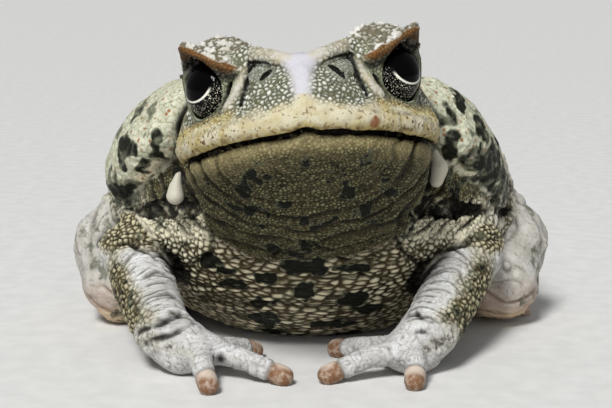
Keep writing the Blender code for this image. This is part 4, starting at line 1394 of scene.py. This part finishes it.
def make_eye(name, side, material):
    """A ball with its pole along the gaze, whose clear front bulges a little."""
    rings, around = EYE_RINGS, EYE_SIDES
    polar = np.linspace(0, math.pi, rings + 1)[1:-1]
    turns = np.linspace(0, 2 * math.pi, around, endpoint=False)
    polar, turns = (grid.ravel() for grid in np.meshgrid(polar, turns, indexing="ij"))
    ball = np.column_stack([np.sin(polar) * np.cos(turns), np.sin(polar) * np.sin(turns), np.cos(polar)])
    ball = np.concatenate([ball, [(0, 0, 1), (0, 0, -1)]])
    axes = HEAD_AXES @ eye_frame(side)
    bulge = 1 + CORNEA_BULGE * fade(ball[:, 2], 0.3, 1.0)
    centre = from_head(sided(side, EYE))
    points = centre + (EYE_RADIUS - EYE_GAP) * (ball * bulge[:, None]) @ axes.T
    faces = []
    for ring in range(rings - 2):
        for n in range(around):
            a, b = ring * around + n, ring * around + (n + 1) % around
            faces.append((a, a + around, b + around, b))
    front, rear = len(ball) - 2, len(ball) - 1
    last = (rings - 2) * around
    for n in range(around):
        faces.append((front, n, (n + 1) % around))
        faces.append((rear, last + (n + 1) % around, last + n))
    mesh = bpy.data.meshes.new(name)
    mesh.from_pydata(in_scene(points).tolist(), [], faces)
    mesh.shade_smooth()
    seat = ball * (side, 1, 1)
    mesh.attributes.new("seat", "FLOAT_VECTOR", "POINT").data.foreach_set("vector", seat.ravel())
    piece = add_object(name, mesh, material)
    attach(piece, "root")
    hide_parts(name)


# The studio


def floor_material():
    g = Graph("pale_floor")
    colour = g.mix(g.levels(g.noise(6.0, 6.0), 0.3, 0.7), srgb(204, 203, 200), srgb(212, 211, 208))
    g.put(colour, g.shader.inputs["Base Color"])
    g.shader.inputs["Roughness"].default_value = 0.8
    return g.material


FLOOR_RADIUS, FLOOR_SIDES = 4.0, 96


def make_floor():
    mesh = bpy.data.meshes.new("floor")
    turns = np.linspace(0, 2 * math.pi, FLOOR_SIDES, endpoint=False)
    rim = [(FLOOR_RADIUS * math.cos(a), FLOOR_RADIUS * math.sin(a), 0) for a in turns]
    mesh.from_pydata(rim, [], [range(FLOOR_SIDES)])
    add_object("floor", mesh, floor_material())


# Soft lights: kind, place in metres, power, and a sun's angle in degrees or an area's width in metres
LAMPS = {
    "key": ("SUN", (-0.22, -0.58, 0.82), 3.1, 16),
    "sparkle": ("AREA", (-0.16, -0.55, 0.50), 0.9, 0.05),
    "fill": ("SUN", (0.10, -0.90, 0.22), 0.5, 50),
}
LAMP_AIM = Vector((0, 0, 0.04))
SKY_COLOUR = (0.92, 0.95, 1, 1)
SKY_STRENGTH = 0.28


def add_lamp(name, kind, place, power, size):
    """A light that faces the toad from its place."""
    light = bpy.data.lights.new(name, kind)
    light.energy = power
    if kind == "SUN":
        light.angle = math.radians(size)
    else:
        light.size = size
    lamp = bpy.data.objects.new(name, light)
    lamp.location = place
    lamp.rotation_euler = (LAMP_AIM - Vector(place)).to_track_quat("-Z", "Y").to_euler()
    bpy.context.scene.collection.objects.link(lamp)


def light_studio():
    for name, lamp in LAMPS.items():
        add_lamp(name, *lamp)
    world = bpy.data.worlds.new("studio")
    world.use_nodes = True
    world.node_tree.nodes["Background"].inputs["Color"].default_value = SKY_COLOUR
    world.node_tree.nodes["Background"].inputs["Strength"].default_value = SKY_STRENGTH
    bpy.context.scene.world = world


# The photograph's camera: how far it stands in front of the snout and above the floor
CAMERA_AWAY = 300.0
CAMERA_HEIGHT = 95.0
CAMERA_PITCH = 9.5
FOCAL_PIXELS = 1432.0
IMAGE_WIDTH = 612
SENSOR_WIDTH = 36.0


def add_camera():
    camera = bpy.data.cameras.new("camera")
    camera.sensor_width = SENSOR_WIDTH
    camera.lens = SENSOR_WIDTH * FOCAL_PIXELS / IMAGE_WIDTH
    eye = bpy.data.objects.new("camera", camera)
    eye.location = in_scene((0, -CAMERA_AWAY, CAMERA_HEIGHT))
    eye.rotation_euler = (math.radians(90 - CAMERA_PITCH), 0, 0)
    bpy.context.scene.collection.objects.link(eye)
    bpy.context.scene.camera = eye
    bpy.context.scene.view_settings.view_transform = "Standard"


make_skin()
wet = eye_material()
for name, side in SIDES.items():
    make_eye(f"eye_{name}", side, wet)
make_floor()
light_studio()
add_camera()
